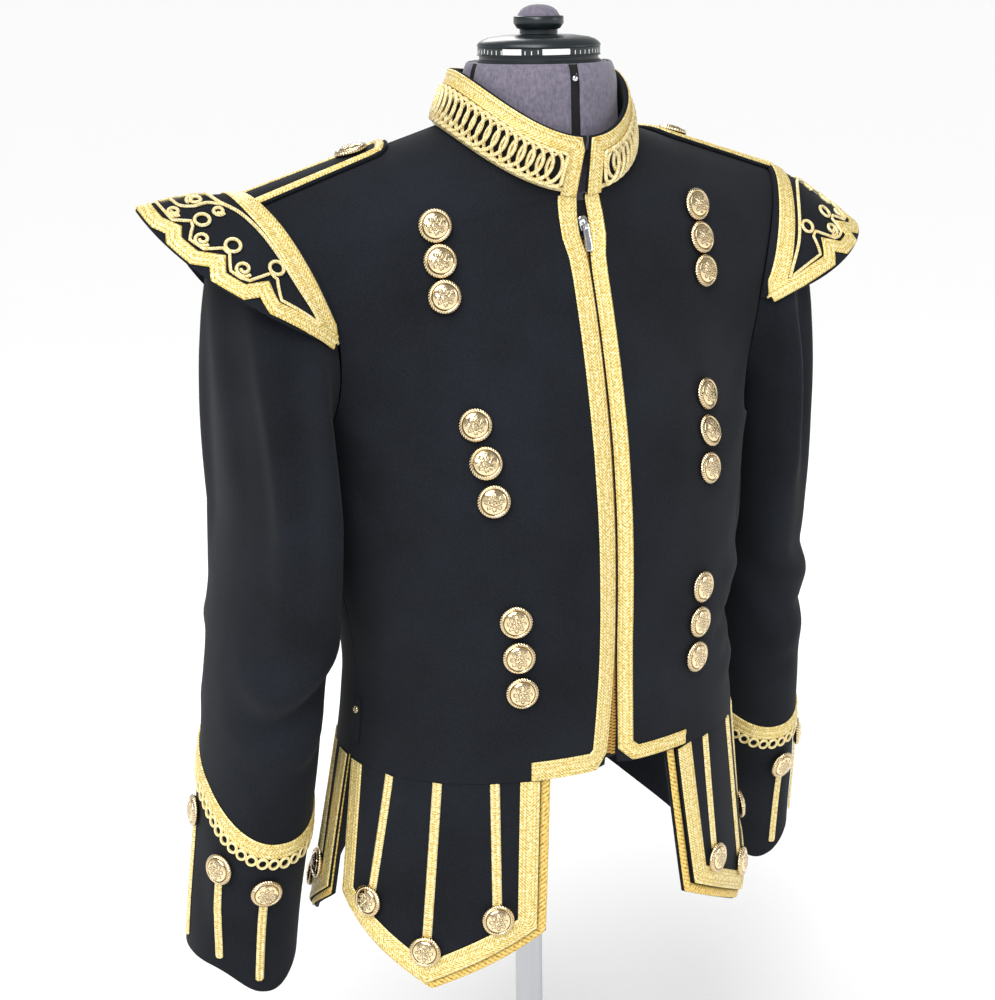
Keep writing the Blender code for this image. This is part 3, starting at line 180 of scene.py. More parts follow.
@dataclass(frozen=True)
class Wool(Finish):
    """Worsted wool barathea: matt and near black, with a fine broken rib and a little bloom."""

    light: str = "#1d2128"
    rib: float = 0.0011
    fibre: float = 700.0
    cloud: float = 14.0

    def dress(self, tree: bpy.types.NodeTree, shader: bpy.types.Node) -> None:
        """Broken diagonal rib from two noises stretched across each other, drawn at 1.1 mm to show."""
        place = add(tree, "ShaderNodeTexCoord").outputs["Object"]
        turned = add(tree, "ShaderNodeMapping", None, {"Vector": place, "Rotation": (0.3, 0.6, 0.9),
                                                        "Scale": (1.0, 1.0, 0.35)})
        rib = add(tree, "ShaderNodeTexNoise", None, {"Vector": turned.outputs[0], "Scale": 1 / self.rib,
                                                      "Detail": 2.0, "Roughness": 0.6})
        lint = add(tree, "ShaderNodeTexNoise", None, {"Vector": place, "Scale": self.fibre, "Detail": 5.0,
                                                       "Roughness": 0.75})
        cloud = add(tree, "ShaderNodeTexNoise", None, {"Vector": place, "Scale": self.cloud, "Detail": 2.0})
        broad = maths(tree, "MULTIPLY", cloud.outputs["Fac"], 0.4)
        both = maths(tree, "MULTIPLY_ADD", lint.outputs["Fac"], 0.6, broad)
        tone = add(tree, "ShaderNodeMapRange", None, {"Value": both, "From Min": 0.34, "From Max": 0.68})
        mix = add(tree, "ShaderNodeMix", {"data_type": "RGBA"},
                  {"Factor": tone.outputs[0], 6: linear(self.colour), 7: linear(self.light)})
        tree.links.new(mix.outputs[2], shader.inputs["Base Color"])
        small = maths(tree, "MULTIPLY", lint.outputs["Fac"], 0.3)
        height = maths(tree, "MULTIPLY_ADD", rib.outputs["Fac"], 0.7, small)
        bump = add(tree, "ShaderNodeBump", None, {"Height": height, "Distance": 0.0004, "Strength": 0.35})
        tree.links.new(bump.outputs["Normal"], shader.inputs["Normal"])


@dataclass(frozen=True)
class Lace(Finish):
    """Gilt wire lace: flat metal thread woven in chevrons, with a painted highlight on the ribs and painted brown
    shade between them.

    It reads the strip's own UV map, in metres: U along the strip and V across it from its middle.
    """

    # light is the painted highlight on the ribs; shade is the painted shade between the threads and in the grooves
    light: str = "#fbf2cc"
    shade: str = "#ae8632"
    pitch: float = 0.0024
    slant: float = 1.0
    depth: float = 0.0003
    grooves: tuple[float, ...] = ()
    groove_half: float = 0.0007
    stitch: float = 0.0026

    def dress(self, tree: bpy.types.NodeTree, shader: bpy.types.Node) -> None:
        """Chevrons from the UV map, with painted glints, and painted shade in the gaps between the threads."""
        uv = add(tree, "ShaderNodeUVMap", {"uv_map": "UVMap"}).outputs[0]
        parts = add(tree, "ShaderNodeSeparateXYZ", None, {0: uv}).outputs
        across = maths(tree, "MULTIPLY", maths(tree, "ABSOLUTE", parts["Y"]), self.slant)
        turns = maths(tree, "MULTIPLY", maths(tree, "ADD", parts["X"], across), 2 * math.pi / self.pitch)
        thread = maths(tree, "MULTIPLY_ADD", maths(tree, "SINE", turns), 0.5, 0.5)
        # Noise spots on the thread: painted glints
        fleck = add(tree, "ShaderNodeTexNoise", None, {"Vector": uv, "Scale": 420.0, "Detail": 2.0})
        spots = add(tree, "ShaderNodeMapRange", None,
                    {"Value": fleck.outputs["Fac"], "From Min": 0.34, "From Max": 0.66})
        level = maths(tree, "MULTIPLY_ADD", thread, 0.5, maths(tree, "MULTIPLY", spots.outputs[0], 0.5))
        stitch = maths(tree, "MULTIPLY", parts["X"], 2 * math.pi / self.stitch)
        stitch = maths(tree, "MULTIPLY_ADD", maths(tree, "SINE", stitch), 0.45, 0.55)
        # Painted shade along each groove, broken by the stitches
        for groove in self.grooves:
            apart = maths(tree, "ABSOLUTE", maths(tree, "SUBTRACT", maths(tree, "ABSOLUTE", parts["Y"]), groove))
            sunk = add(tree, "ShaderNodeMapRange", {"interpolation_type": "SMOOTHSTEP"},
                       {"Value": apart, "From Max": self.groove_half, "To Min": 1.0, "To Max": 0.0}).outputs[0]
            kept = maths(tree, "MULTIPLY_ADD", maths(tree, "MULTIPLY", sunk, stitch), -0.9, 1.0)
            level = maths(tree, "MULTIPLY", level, kept)
        # Painted shade at the low end of the ramp, painted highlight at the high end
        ramp = add(tree, "ShaderNodeValToRGB", None, {"Fac": level})
        stops = ramp.color_ramp.elements
        stops[0].position, stops[0].color = 0.02, linear(self.shade)
        stops[1].position, stops[1].color = 0.95, linear(self.light)
        middle = stops.new(0.36)
        middle.color = linear(self.colour)
        tree.links.new(ramp.outputs["Color"], shader.inputs["Base Color"])
        bump = add(tree, "ShaderNodeBump", None, {"Height": level, "Distance": self.depth, "Strength": 0.6})
        tree.links.new(bump.outputs["Normal"], shader.inputs["Normal"])


@dataclass(frozen=True)
class Plated(Finish):
    """Stamped and plated metal: smooth, with faint handling marks."""

    marks: float = 260.0

    def dress(self, tree: bpy.types.NodeTree, shader: bpy.types.Node) -> None:
        """Uneven polish and a faint ripple of the stamping."""
        place = add(tree, "ShaderNodeTexCoord").outputs["Object"]
        marks = add(tree, "ShaderNodeTexNoise", None, {"Vector": place, "Scale": self.marks, "Detail": 4.0})
        rough = add(tree, "ShaderNodeMapRange", None, {"Value": marks.outputs["Fac"], "From Min": 0.3, "From Max": 0.7,
                                                       "To Min": self.roughness * 0.7, "To Max": self.roughness * 1.5})
        tree.links.new(rough.outputs[0], shader.inputs["Roughness"])
        bump = add(tree, "ShaderNodeBump", None, {"Height": marks.outputs["Fac"], "Distance": 0.0001, "Strength": 0.2})
        tree.links.new(bump.outputs["Normal"], shader.inputs["Normal"])


@dataclass(frozen=True)
class Stamped(Plated):
    """The same with a stamped rosette: dark in the sunk lines, with a roped rim.

    It reads the button's UV map: places on its face in metres from its middle.
    """

    reach: float = 0.0068
    petals: float = 8.0
    strands: float = 36.0
    rim: float = 0.0098
    line: float = 0.00050
    dark: str = "#563a14"

    def dress(self, tree: bpy.types.NodeTree, shader: bpy.types.Node) -> None:
        """A rosette of eight petals round a boss, a groove, and a roped rim."""
        uv = add(tree, "ShaderNodeUVMap", {"uv_map": "UVMap"}).outputs[0]
        parts = add(tree, "ShaderNodeSeparateXYZ", None, {0: uv}).outputs
        radius = add(tree, "ShaderNodeVectorMath", {"operation": "LENGTH"}, {0: uv}).outputs["Value"]
        angle = maths(tree, "ARCTAN2", parts["Y"], parts["X"])
        lobe = maths(tree, "ABSOLUTE", maths(tree, "COSINE", maths(tree, "MULTIPLY", angle, self.petals / 2)))
        edge = maths(tree, "MULTIPLY", maths(tree, "MULTIPLY_ADD", lobe, 0.42, 0.58), self.reach)
        sunk = None
        for place in (edge, maths(tree, "MULTIPLY", edge, 0.55), 0.0013, 0.0090):
            apart = maths(tree, "ABSOLUTE", maths(tree, "SUBTRACT", radius, place))
            line = add(tree, "ShaderNodeMapRange", {"interpolation_type": "SMOOTHSTEP"},
                       {"Value": apart, "From Max": self.line, "To Min": 1.0, "To Max": 0.0}).outputs[0]
            sunk = line if sunk is None else maths(tree, "MAXIMUM", sunk, line)
        twist = maths(tree, "MULTIPLY", angle, self.strands)
        rope = maths(tree, "SINE", maths(tree, "MULTIPLY_ADD", radius, 2600.0, twist))
        rim = maths(tree, "GREATER_THAN", radius, self.rim)
        fine = add(tree, "ShaderNodeTexVoronoi", {"feature": "DISTANCE_TO_EDGE"}, {"Vector": uv, "Scale": 620.0})
        cell = add(tree, "ShaderNodeMapRange", None, {"Value": fine.outputs[0], "From Max": 0.16, "To Min": 0.5,
                                                      "To Max": 0.0}).outputs[0]
        inside = maths(tree, "MULTIPLY", cell, maths(tree, "LESS_THAN", radius, edge))
        sunk = maths(tree, "MAXIMUM", sunk, inside)
        sunk = maths(tree, "MAXIMUM", sunk, maths(tree, "MULTIPLY", rim, maths(tree, "MULTIPLY_ADD", rope, 0.3, 0.3)))
        mix = add(tree, "ShaderNodeMix", {"data_type": "RGBA"},
                  {"Factor": maths(tree, "MULTIPLY", sunk, 0.8), 6: linear(self.colour), 7: linear(self.dark)})
        tree.links.new(mix.outputs[2], shader.inputs["Base Color"])
        bump = add(tree, "ShaderNodeBump", {"invert": True}, {"Height": sunk, "Distance": 0.0005, "Strength": 0.9})
        tree.links.new(bump.outputs["Normal"], shader.inputs["Normal"])


@dataclass(frozen=True)
class Knit(Finish):
    """Cotton jersey stretched over the form: matt, with fine upright wales and fluff."""

    light: str = "#76707f"
    wale: float = 0.0012

    def dress(self, tree: bpy.types.NodeTree, shader: bpy.types.Node) -> None:
        """Upright wales round the form's axis, drawn at 1.2 mm, and a mottled tone."""
        place = add(tree, "ShaderNodeTexCoord").outputs["Object"]
        flat = add(tree, "ShaderNodeMapping", None, {"Vector": place, "Scale": (1.0, 1.0, 0.25)})
        wale = add(tree, "ShaderNodeTexNoise", None,
                   {"Vector": flat.outputs[0], "Scale": 1 / self.wale, "Detail": 2.0})
        fluff = add(tree, "ShaderNodeTexNoise", None, {"Vector": place, "Scale": 320.0, "Detail": 4.0})
        half = maths(tree, "MULTIPLY", fluff.outputs["Fac"], 0.5)
        tone = maths(tree, "MULTIPLY_ADD", wale.outputs["Fac"], 0.5, half)
        spread = add(tree, "ShaderNodeMapRange", None, {"Value": tone, "From Min": 0.36, "From Max": 0.64})
        mix = add(tree, "ShaderNodeMix", {"data_type": "RGBA"},
                  {"Factor": spread.outputs[0], 6: linear(self.colour), 7: linear(self.light)})
        tree.links.new(mix.outputs[2], shader.inputs["Base Color"])
        bump = add(tree, "ShaderNodeBump", None, {"Height": tone, "Distance": 0.0004, "Strength": 0.4})
        tree.links.new(bump.outputs["Normal"], shader.inputs["Normal"])


@dataclass(frozen=True)
class Brushed(Finish):
    """Steel brushed along its length or in circles: soft streaks in the gloss."""

    streaks: tuple[float, float, float] = (400.0, 400.0, 6.0)

    def dress(self, tree: bpy.types.NodeTree, shader: bpy.types.Node) -> None:
        """Streaks from a noise drawn out along the brushing."""
        place = add(tree, "ShaderNodeTexCoord").outputs["Object"]
        drawn = add(tree, "ShaderNodeMapping", None, {"Vector": place, "Scale": self.streaks})
        streak = add(tree, "ShaderNodeTexNoise", None, {"Vector": drawn.outputs[0], "Scale": 1.0, "Detail": 3.0})
        rough = add(tree, "ShaderNodeMapRange", None, {"Value": streak.outputs["Fac"], "To Min": self.roughness * 0.75,
                                                       "To Max": self.roughness * 1.35})
        tree.links.new(rough.outputs[0], shader.inputs["Roughness"])
        bump = add(tree, "ShaderNodeBump", None,
                   {"Height": streak.outputs["Fac"], "Distance": 0.0001, "Strength": 0.1})
        tree.links.new(bump.outputs["Normal"], shader.inputs["Normal"])


class Finishes(Enum):
    """Every finish of the part, each made once."""

    # Worsted wool barathea, dyed midnight blue that reads as black: matt, faint sheen at the edges
    WOOL = Wool("wool_barathea", "#0c0e12", 0.95, extra=(("Specular IOR Level", 0.18), ("Sheen Weight", 0.035),
                                                          ("Sheen Roughness", 0.45)))
    # Gilt wire lace, woven flat: half metal, half thread, so its gloss is broken; painted highlights on its ribs and
    # painted shade in its grooves
    LACE = Lace("gilt_wire_lace", "#dec66c", 0.46, 0.25, grooves=(0.0024, 0.0049))
    # The narrow bars: two ribs with a painted highlight, and a sunk line of stitches between them darkened with
    # painted shade
    BAR = Lace("gilt_bar_lace", "#e2ca74", 0.46, 0.25, light="#fdf6d8", pitch=0.0019, slant=0.6, grooves=(0.0,))
    # The same lace on the under flaps, a deeper gold and more like rope, with darker painted shade between its strands
    ROPE = Lace("gilt_rope_lace", "#dab452", 0.5, 0.25, light="#f8e08e", shade="#8f6418", pitch=0.0036, slant=0.6,
                depth=0.0006)
    # Gilt cord, twisted: painted highlights on the slanted strands and painted shade between them
    CORD = Lace("gilt_cord", "#e6d084", 0.44, 0.25, light="#fdf8de", shade="#b8903a", pitch=0.0019, slant=0.55)
    # Stamped brass, gilt and polished: bright, pale, with dark hollows
    GILT = Stamped("gilt_brass", "#f8e2b6", 0.12, 1.0)
    # Brass zip teeth, dulled by the tape's lint
    TEETH = Plated("zip_brass", "#b58d4a", 0.34, 1.0)
    # Nickel plate on the zip's metal
    NICKEL = Plated("nickel_plate", "#dcdde0", 0.16, 1.0)
    # Woven polyester zip tape, matt black
    TAPE = Wool("woven_tape", "#0a0b0d", 0.9, light="#15161a")
    # Cotton jersey over the form, grey with a trace of purple
    JERSEY = Knit("cotton_jersey", "#5b5766", 0.95, extra=(("Sheen Weight", 0.2),))
    # Black felt seen in the form's gaps
    FELT = Wool("black_felt", "#060607", 0.95, light="#0c0c0e")
    # Injection moulded ABS, dark grey green, glossy with a faint moulded grain
    ABS = Finish("moulded_abs", "#1b2326", 0.3)
    # Printed plastic strip, white
    PRINT = Finish("printed_strip", "#e9ebea", 0.35)
    # Brushed stainless steel pole and base
    STEEL = Brushed("brushed_steel", "#b9bbbe", 0.32, 1.0)

    def material(self) -> bpy.types.Material:
        """The finish's material, made on first use."""
        return bpy.data.materials.get(self.value.name) or self.value.build()


# Curves and tables
def follow(x: Sequence[float], y: Sequence[float], at: Array | float) -> Array:
    """Read a smooth value from a short table.

    Args:
        x: rising places.
        y: the value at each place.
        at: where it is wanted.

    Returns:
        The value, with the shape of at.
    """
    x, y = np.asarray(x, float), np.asarray(y, float)
    slope = np.gradient(y, x)
    at = np.clip(at, x[0], x[-1])
    i = np.clip(np.searchsorted(x, at) - 1, 0, len(x) - 2)
    step = x[i + 1] - x[i]
    u = (at - x[i]) / step
    start = (1 + 2 * u) * (1 - u) ** 2 * y[i] + u * (1 - u) ** 2 * step * slope[i]
    return start + u * u * (3 - 2 * u) * y[i + 1] + u * u * (u - 1) * step * slope[i + 1]


def unit(vectors: Array) -> Array:
    """Vectors at length one."""
    return vectors / (np.linalg.norm(vectors, axis=-1, keepdims=True) + 1e-12)


def run_of(points: Array) -> Array:
    """Distance along a path at each of its points."""
    return np.concatenate([[0.0], np.cumsum(np.linalg.norm(np.diff(points, axis=0), axis=1))])


def stepped(path: Array, step: float) -> Array:
    """Split the stretches of a path into equal steps and keep its corners."""
    out = [path[:1]]
    for a, b in zip(path[:-1], path[1:]):
        count = max(1, int(math.ceil(np.linalg.norm(b - a) / step)))
        out.append(a + (b - a) * (np.arange(1, count + 1) / count)[:, None])
    return np.concatenate(out)


def smooth(path: Array, step: float) -> Array:
    """A soft curve through points that stand a few centimetres apart."""
    path = np.asarray(path, float)
    run = run_of(path)
    at = np.linspace(0, run[-1], max(3, int(run[-1] / step) + 1))
    return np.stack([follow(run, path[:, k], at) for k in range(path.shape[1])], axis=1)


# Shapes
@dataclass
class Bundle:
    """Closed shapes that become one piece, each with its finish and a UV map in metres."""

    name: str
    side: Side = Side.L
    points: list[Array] = field(default_factory=list)
    faces: list[tuple[int, ...]] = field(default_factory=list)
    uvs: list[Array] = field(default_factory=list)
    slots: list[int] = field(default_factory=list)
    finishes: list[Finishes] = field(default_factory=list)
    count: int = 0

    def put(self, finish: Finishes, points: Array, faces: list[tuple[int, ...]], uv: Array | None = None) -> None:
        """Add points and the faces between them."""
        points = points.reshape(-1, 3)
        uv = points[:, [0, 2]] if uv is None else uv.reshape(-1, 2)
        if finish not in self.finishes:
            self.finishes.append(finish)
        slot = self.finishes.index(finish)
        self.points.append(points)
        self.uvs.append(uv)
        self.faces += [tuple(i + self.count for i in face) for face in faces]
        self.slots += [slot] * len(faces)
        self.count += len(points)

    def wall(self, finish: Finishes, outer: Array, inner: Array, uv: Array | None = None, closed: bool = False,
             swell: float = 0.3) -> None:
        """Add a wall between an outer and an inner grid, its edges rounded.

        Args:
            finish: what it is made of.
            outer: rows by columns of points.
            inner: the same of the other face.
            uv: rows by columns of map places.
            closed: whether the columns go round.
            swell: how far the edges stand out, as a share of the thickness.
        """
        rows, cols = outer.shape[:2]
        uv = outer[..., [0, 2]] if uv is None else uv
        size = rows * cols
        i, j = np.meshgrid(np.arange(rows - 1), np.arange(cols if closed else cols - 1), indexing="ij")
        k = (j + 1) % cols
        quads = np.stack([i * cols + j, i * cols + k, (i + 1) * cols + k, (i + 1) * cols + j], -1).reshape(-1, 4)
        flat = outer.reshape(-1, 3)
        cross = np.cross(flat[quads[:, 2]] - flat[quads[:, 0]], flat[quads[:, 3]] - flat[quads[:, 1]])
        away = (outer - inner).reshape(-1, 3)[quads[:, 0]]
        turned = (cross * away).sum() < 0
        if turned:
            quads = quads[:, ::-1]
        faces = [tuple(q) for q in quads.tolist()] + [tuple(q) for q in (quads[:, ::-1] + size).tolist()]
        first, last = list(range(cols)), list(range((rows - 1) * cols, rows * cols))
        if closed:
            loops = [(first, [f + cols for f in first]), (last[::-1], [f - cols for f in last[::-1]])]
        else:
            right = [r * cols + cols - 1 for r in range(1, rows)]
            left = [r * cols for r in range(rows - 2, 0, -1)]
            loop = first + right + last[-2::-1] + left
            inside = loop
            if rows > 2 and cols > 2:
                inside = [min(max(f // cols, 1), rows - 2) * cols + min(max(f % cols, 1), cols - 2) for f in loop]
            loops = [(loop, inside)]
        extra, extra_uv = [], []
        inner_flat, uv_flat = inner.reshape(-1, 3), uv.reshape(-1, 2)
        for loop, inside in loops:
            base = 2 * size + sum(len(e) for e in extra)
            edge = (flat[loop] + inner_flat[loop]) / 2
            thick = np.linalg.norm(flat[loop] - inner_flat[loop], axis=1, keepdims=True)
            extra.append(edge + unit(flat[loop] - flat[inside]) * thick * swell)
            extra_uv.append(uv_flat[loop])
            n = len(loop)
            for a in range(n):
                b = (a + 1) % n
                pair = [(loop[b], loop[a], base + a, base + b), (base + b, base + a, loop[a] + size, loop[b] + size)]
                faces += [tuple(reversed(p)) for p in pair] if turned else pair
        self.put(finish, np.concatenate([flat, inner_flat, *extra]), faces,
                 np.concatenate([uv_flat, uv_flat, *extra_uv]))

    def tube(self, finish: Finishes, centres: Array, out: Array, radius: float | Array, sides: int = 8,
             closed: bool = False, flat: float = 1.0) -> None:
        """Add a round cord along a path.

        Args:
            finish: what it is made of.
            centres: points of its middle line.
            out: a direction across it at each point.
            radius: its radius, or one at each point.
            sides: facets round it.
            closed: whether it ends where it starts.
            flat: its height as a share of its width.
        """
        n = len(centres)
        if closed:
            along = unit(np.roll(centres, -1, axis=0) - np.roll(centres, 1, axis=0))
        else:
            along = unit(np.gradient(centres, axis=0))
        across = unit(np.cross(out, along))
        out = np.cross(along, across)
        turn = np.linspace(0, 2 * math.pi, sides, endpoint=False)
        reach = np.broadcast_to(np.asarray(radius, float), (n,))[:, None, None]
        rings = centres[:, None] + reach * (np.cos(turn)[None, :, None] * across[:, None]
                                            + flat * np.sin(turn)[None, :, None] * out[:, None])
        length = run_of(centres)
        v = np.where(turn > math.pi, turn - 2 * math.pi, turn) * float(np.mean(reach))
        uv = np.stack(np.broadcast_arrays(length[:, None], v[None, :]), -1)
        last = n if closed else n - 1
        faces = [(i * sides + j, i * sides + (j + 1) % sides, (i + 1) % n * sides + (j + 1) % sides,
                  (i + 1) % n * sides + j) for i in range(last) for j in range(sides)]
        points = rings.reshape(-1, 3)
        uv = uv.reshape(-1, 2)
        if not closed:
            tips = np.array([centres[0] - along[0] * reach[0, 0, 0] * 0.5,
                             centres[-1] + along[-1] * reach[-1, 0, 0] * 0.5])
            points, uv = np.concatenate([points, tips]), np.concatenate([uv, [[0, 0], [length[-1], 0]]])
            size = n * sides
            faces += [(size, (j + 1) % sides, j) for j in range(sides)]
            faces += [(size + 1, (n - 1) * sides + j, (n - 1) * sides + (j + 1) % sides) for j in range(sides)]
        self.put(finish, points, faces, uv)

    def turned(self, finish: Finishes, profile: Sequence[tuple[float, float]], steps: int, seat: Matrix | None = None,
               lobes: int = 0, wave: float = 0.0) -> None:
        """Add a turned shape, its profile from the top of the axis to its bottom.

        Args:
            finish: what it is made of.
            profile: radius and height of each ring, starting and ending on the axis.
            steps: facets round it.
            seat: where it goes.
            lobes: waves round its inner rings.
            wave: their height.
        """
        turn = np.linspace(0, 2 * math.pi, steps, endpoint=False)
        rings = profile[1:-1]
        points = [(0.0, 0.0, profile[0][1])]
        uv = [(0.0, 0.0)]
        for k, (radius, height) in enumerate(rings):
            lift = wave * np.cos(lobes * turn) if lobes and 0 < k < 4 else np.zeros(steps)
            points += list(zip(radius * np.cos(turn), radius * np.sin(turn), height + lift))
            uv += list(zip(radius * np.cos(turn), radius * np.sin(turn)))
        points.append((0.0, 0.0, profile[-1][1]))
        uv.append((0.0, 0.0))
        faces = [(0, 1 + j, 1 + (j + 1) % steps) for j in range(steps)]
        for i in range(len(rings) - 1):
            a, b = 1 + i * steps, 1 + (i + 1) * steps
            faces += [(a + j, b + j, b + (j + 1) % steps, a + (j + 1) % steps) for j in range(steps)]
        a, end = 1 + (len(rings) - 1) * steps, 1 + len(rings) * steps
        faces += [(end, a + (j + 1) % steps, a + j) for j in range(steps)]
        points = np.array(points, float)
        if seat is not None:
            points = points @ np.array(seat.to_3x3()).T + np.array(seat.translation)
        self.put(finish, points, faces, np.array(uv))

    def mesh(self) -> bpy.types.Mesh:
        """The bundle's mesh, on its own side of the body."""
        mesh = bpy.data.meshes.new(self.name)
        points = np.concatenate(self.points) * self.side.flip + UP
        faces = self.faces if self.side is Side.L else [face[::-1] for face in self.faces]
        mesh.from_pydata(points.tolist(), [], faces)
        layer = mesh.uv_layers.new(name="UVMap")
        corners = np.empty(len(mesh.loops), np.int32)
        mesh.loops.foreach_get("vertex_index", corners)
        layer.data.foreach_set("uv", np.concatenate(self.uvs)[corners].astype(np.float32).ravel())
        for finish in self.finishes:
            mesh.materials.append(finish.material())
        mesh.polygons.foreach_set("material_index", np.array(self.slots, np.int32))
        mesh.validate()
        mesh.shade_smooth()
        mesh.set_sharp_from_angle(angle=math.radians(50))
        return mesh

    def made(self, slot: str, replaces: Sequence[str] = (), body: str = BODY) -> bpy.types.Object:
        """Make the piece and hang it on its body.

        Args:
            slot: the record's material slot; not used.
            replaces: CAD nodes it stands for.
            body: the body it rides on.

        Returns:
            The finished object.
        """
        return placed(bpy.data.objects.new(self.name, self.mesh()), replaces, body)


def placed(piece: bpy.types.Object, replaces: Sequence[str] = (), body: str = BODY) -> bpy.types.Object:
    """Link a finished piece, log it and hang it on its body."""
    if not piece.users_collection:
        bpy.context.scene.collection.objects.link(piece)
    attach(piece, body)
    if replaces:
        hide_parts(*replaces)
    LOG.info("%s: %d faces", piece.name, len(piece.data.polygons))
    return piece


@dataclass(frozen=True)
class Fold:
    """A crease: a soft ridge, or a trough where its depth is below zero."""

    line: tuple[tuple[float, float, float], ...]
    width: float
    depth: float
    skew: float = 0.0

    def lift(self, points: Array) -> Array:
        """How far each point moves out."""
        line = smooth(np.array(self.line), 0.008)
        run = run_of(line)
        a, b = line[:-1], line[1:]
        gap = points[..., None, :] - a
        stretch = b - a
        share = np.clip((gap * stretch).sum(-1) / ((stretch ** 2).sum(-1) + 1e-12), 0, 1)
        apart = np.linalg.norm(gap - share[..., None] * stretch, axis=-1)
        near = apart.argmin(-1)
        least = np.take_along_axis(apart, near[..., None], -1)[..., 0]
        at = (run[near] + np.take_along_axis(share, near[..., None], -1)[..., 0] * np.diff(run)[near]) / run[-1]
        taper = np.sin(math.pi * np.clip(at * 0.86 + 0.07, 0, 1)) ** 1.2
        width = self.width * (1 + self.skew * (at - 0.5))
        ridge = np.exp(-(least / width) ** 2)
        return self.depth * taper * (ridge - 0.35 * np.exp(-((least - 1.9 * width) / width) ** 2))


class Skin:
    """A surface known by a dense grid of points and its outward normals."""

    def __init__(self, points: Array, rough: Array, closed: bool = False, folds: Sequence[Fold] = ()) -> None:
        """Measure the surface, with its folds pressed in.

        Args:
            points: rows by columns of points.
            rough: a rough outward direction of each.
            closed: whether the columns go round.
            folds: the creases in it.
        """
        self.closed = closed
        self.points = points
        self.rough = rough
        self.normals = self._measure()
        if folds:
            lift = sum(fold.lift(points) for fold in folds)
            self.points = points + self.normals * lift[..., None]
            self.normals = self._measure()
        self._tree: BVHTree | None = None

    def _measure(self) -> Array:
        """Normals of the grid, turned outwards."""
        p = self.points
        if self.closed:
            along = np.roll(p, -1, axis=1) - np.roll(p, 1, axis=1)
        else:
            along = np.gradient(p, axis=1)
        normal = unit(np.cross(along, np.gradient(p, axis=0)))
        sign = np.sign((normal * self.rough).sum(-1, keepdims=True))
        return normal * np.where(sign == 0, 1, sign)

    def at(self, row: Array, column: Array, lift: float | Array = 0.0) -> Array:
        """Points at fractional rows and columns, lifted off the surface."""
        row, column = np.broadcast_arrays(np.asarray(row, float), np.asarray(column, float))
        rows, cols = self.points.shape[:2]
        r = np.clip(row, 0, rows - 1.0001)
        c = column % cols if self.closed else np.clip(column, 0, cols - 1.0001)
        i, j = r.astype(int), c.astype(int)
        k = (j + 1) % cols
        u, v = (r - i)[..., None], (c - j)[..., None]
        both = np.concatenate([self.points, self.normals], axis=-1)
        low = both[i, j] * (1 - v) + both[i, k] * v
        high = both[i + 1, j] * (1 - v) + both[i + 1, k] * v
        value = low * (1 - u) + high * u
        return value[..., :3] + unit(value[..., 3:]) * np.asarray(lift)[..., None]

    @property
    def tree(self) -> BVHTree:
        """Search tree of the surface's facets."""
        if self._tree is None:
            rows, cols = self.points.shape[:2]
            last = cols if self.closed else cols - 1
            self._quads = [(i + j, i + (j + 1) % cols, i + cols + (j + 1) % cols, i + cols + j)
                           for i in range(0, (rows - 1) * cols, cols) for j in range(last)]
            self._tree = BVHTree.FromPolygons(self.points.reshape(-1, 3).tolist(), self._quads)
        return self._tree

    def settle(self, points: Array) -> tuple[Array, Array]:
        """Nearest places on the surface and their smooth normals."""
        tree = self.tree
        flat, normals = self.points.reshape(-1, 3), self.normals.reshape(-1, 3)
        place, out = np.empty_like(points), np.empty_like(points)
        for k, point in enumerate(points):
            found, _, index, _ = tree.find_nearest(Vector(point))
            quad = list(self._quads[index])
            place[k] = found
            weight = 1 / (((flat[quad] - place[k]) ** 2).sum(1) + 1e-8)
            out[k] = (normals[quad] * weight[:, None]).sum(0)
        return place, unit(out)

    def facing(self, x: float, height: float, back: bool = False) -> Array:
        """Place where a level line from the front, or from the back, meets the surface."""
        way = -1.0 if back else 1.0
        return np.array(self.tree.ray_cast(Vector((x, -way, height)), Vector((0.0, way, 0.0)))[0])

    def strip(self, bundle: Bundle, finish: Finishes, path: Array, half: float, lift: float = SEAM,
              profile: Callable[[Array], Array] | None = None, columns: int = 9, step: float = 0.003,
              taper: Array | None = None) -> None:
        """Lay a flat strip along a path on the surface, its corners mitred.

        Args:
            bundle: where it goes.
            finish: what it is made of.
            path: points near the surface.
            half: half its width.
            lift: how far its under side stands off the surface.
            profile: its thickness at places from -1 to 1 across it.
            columns: points across it.
            step: length of its facets.
            taper: a factor on its width at each point of the path.
        """
        line = stepped(path, step)
        place, normal = self.settle(line)
        past = line[[0, -1]] - place[[0, -1]]
        place[[0, -1]] += past - (past * normal[[0, -1]]).sum(-1, keepdims=True) * normal[[0, -1]]
        ahead = unit(np.diff(place, axis=0))
        before, after = np.concatenate([ahead[:1], ahead]), np.concatenate([ahead, ahead[-1:]])
        left, right = unit(np.cross(normal, before)), unit(np.cross(normal, after))
        across = unit(left + right)
        across /= np.clip((across * right).sum(-1, keepdims=True), 0.3, 1)
        share = np.linspace(-1, 1, columns)
        width = half if taper is None else half * np.interp(run_of(line), run_of(path), taper)[:, None, None]
        grid = place[:, None] + across[:, None] * share[None, :, None] * width
        flat, out = self.settle(grid.reshape(-1, 3))
        flat, out = flat.reshape(grid.shape), out.reshape(grid.shape)
        over = grid - flat
        flat = flat + over - (over * out).sum(-1, keepdims=True) * out
        thick = np.full(columns, BRAID_THICK) if profile is None else profile(share)
        uv = np.stack(np.broadcast_arrays(run_of(place)[:, None], (share * half)[None]), -1)
        bundle.wall(finish, flat + out * (lift + thick)[None, :, None], flat + out * lift, uv)

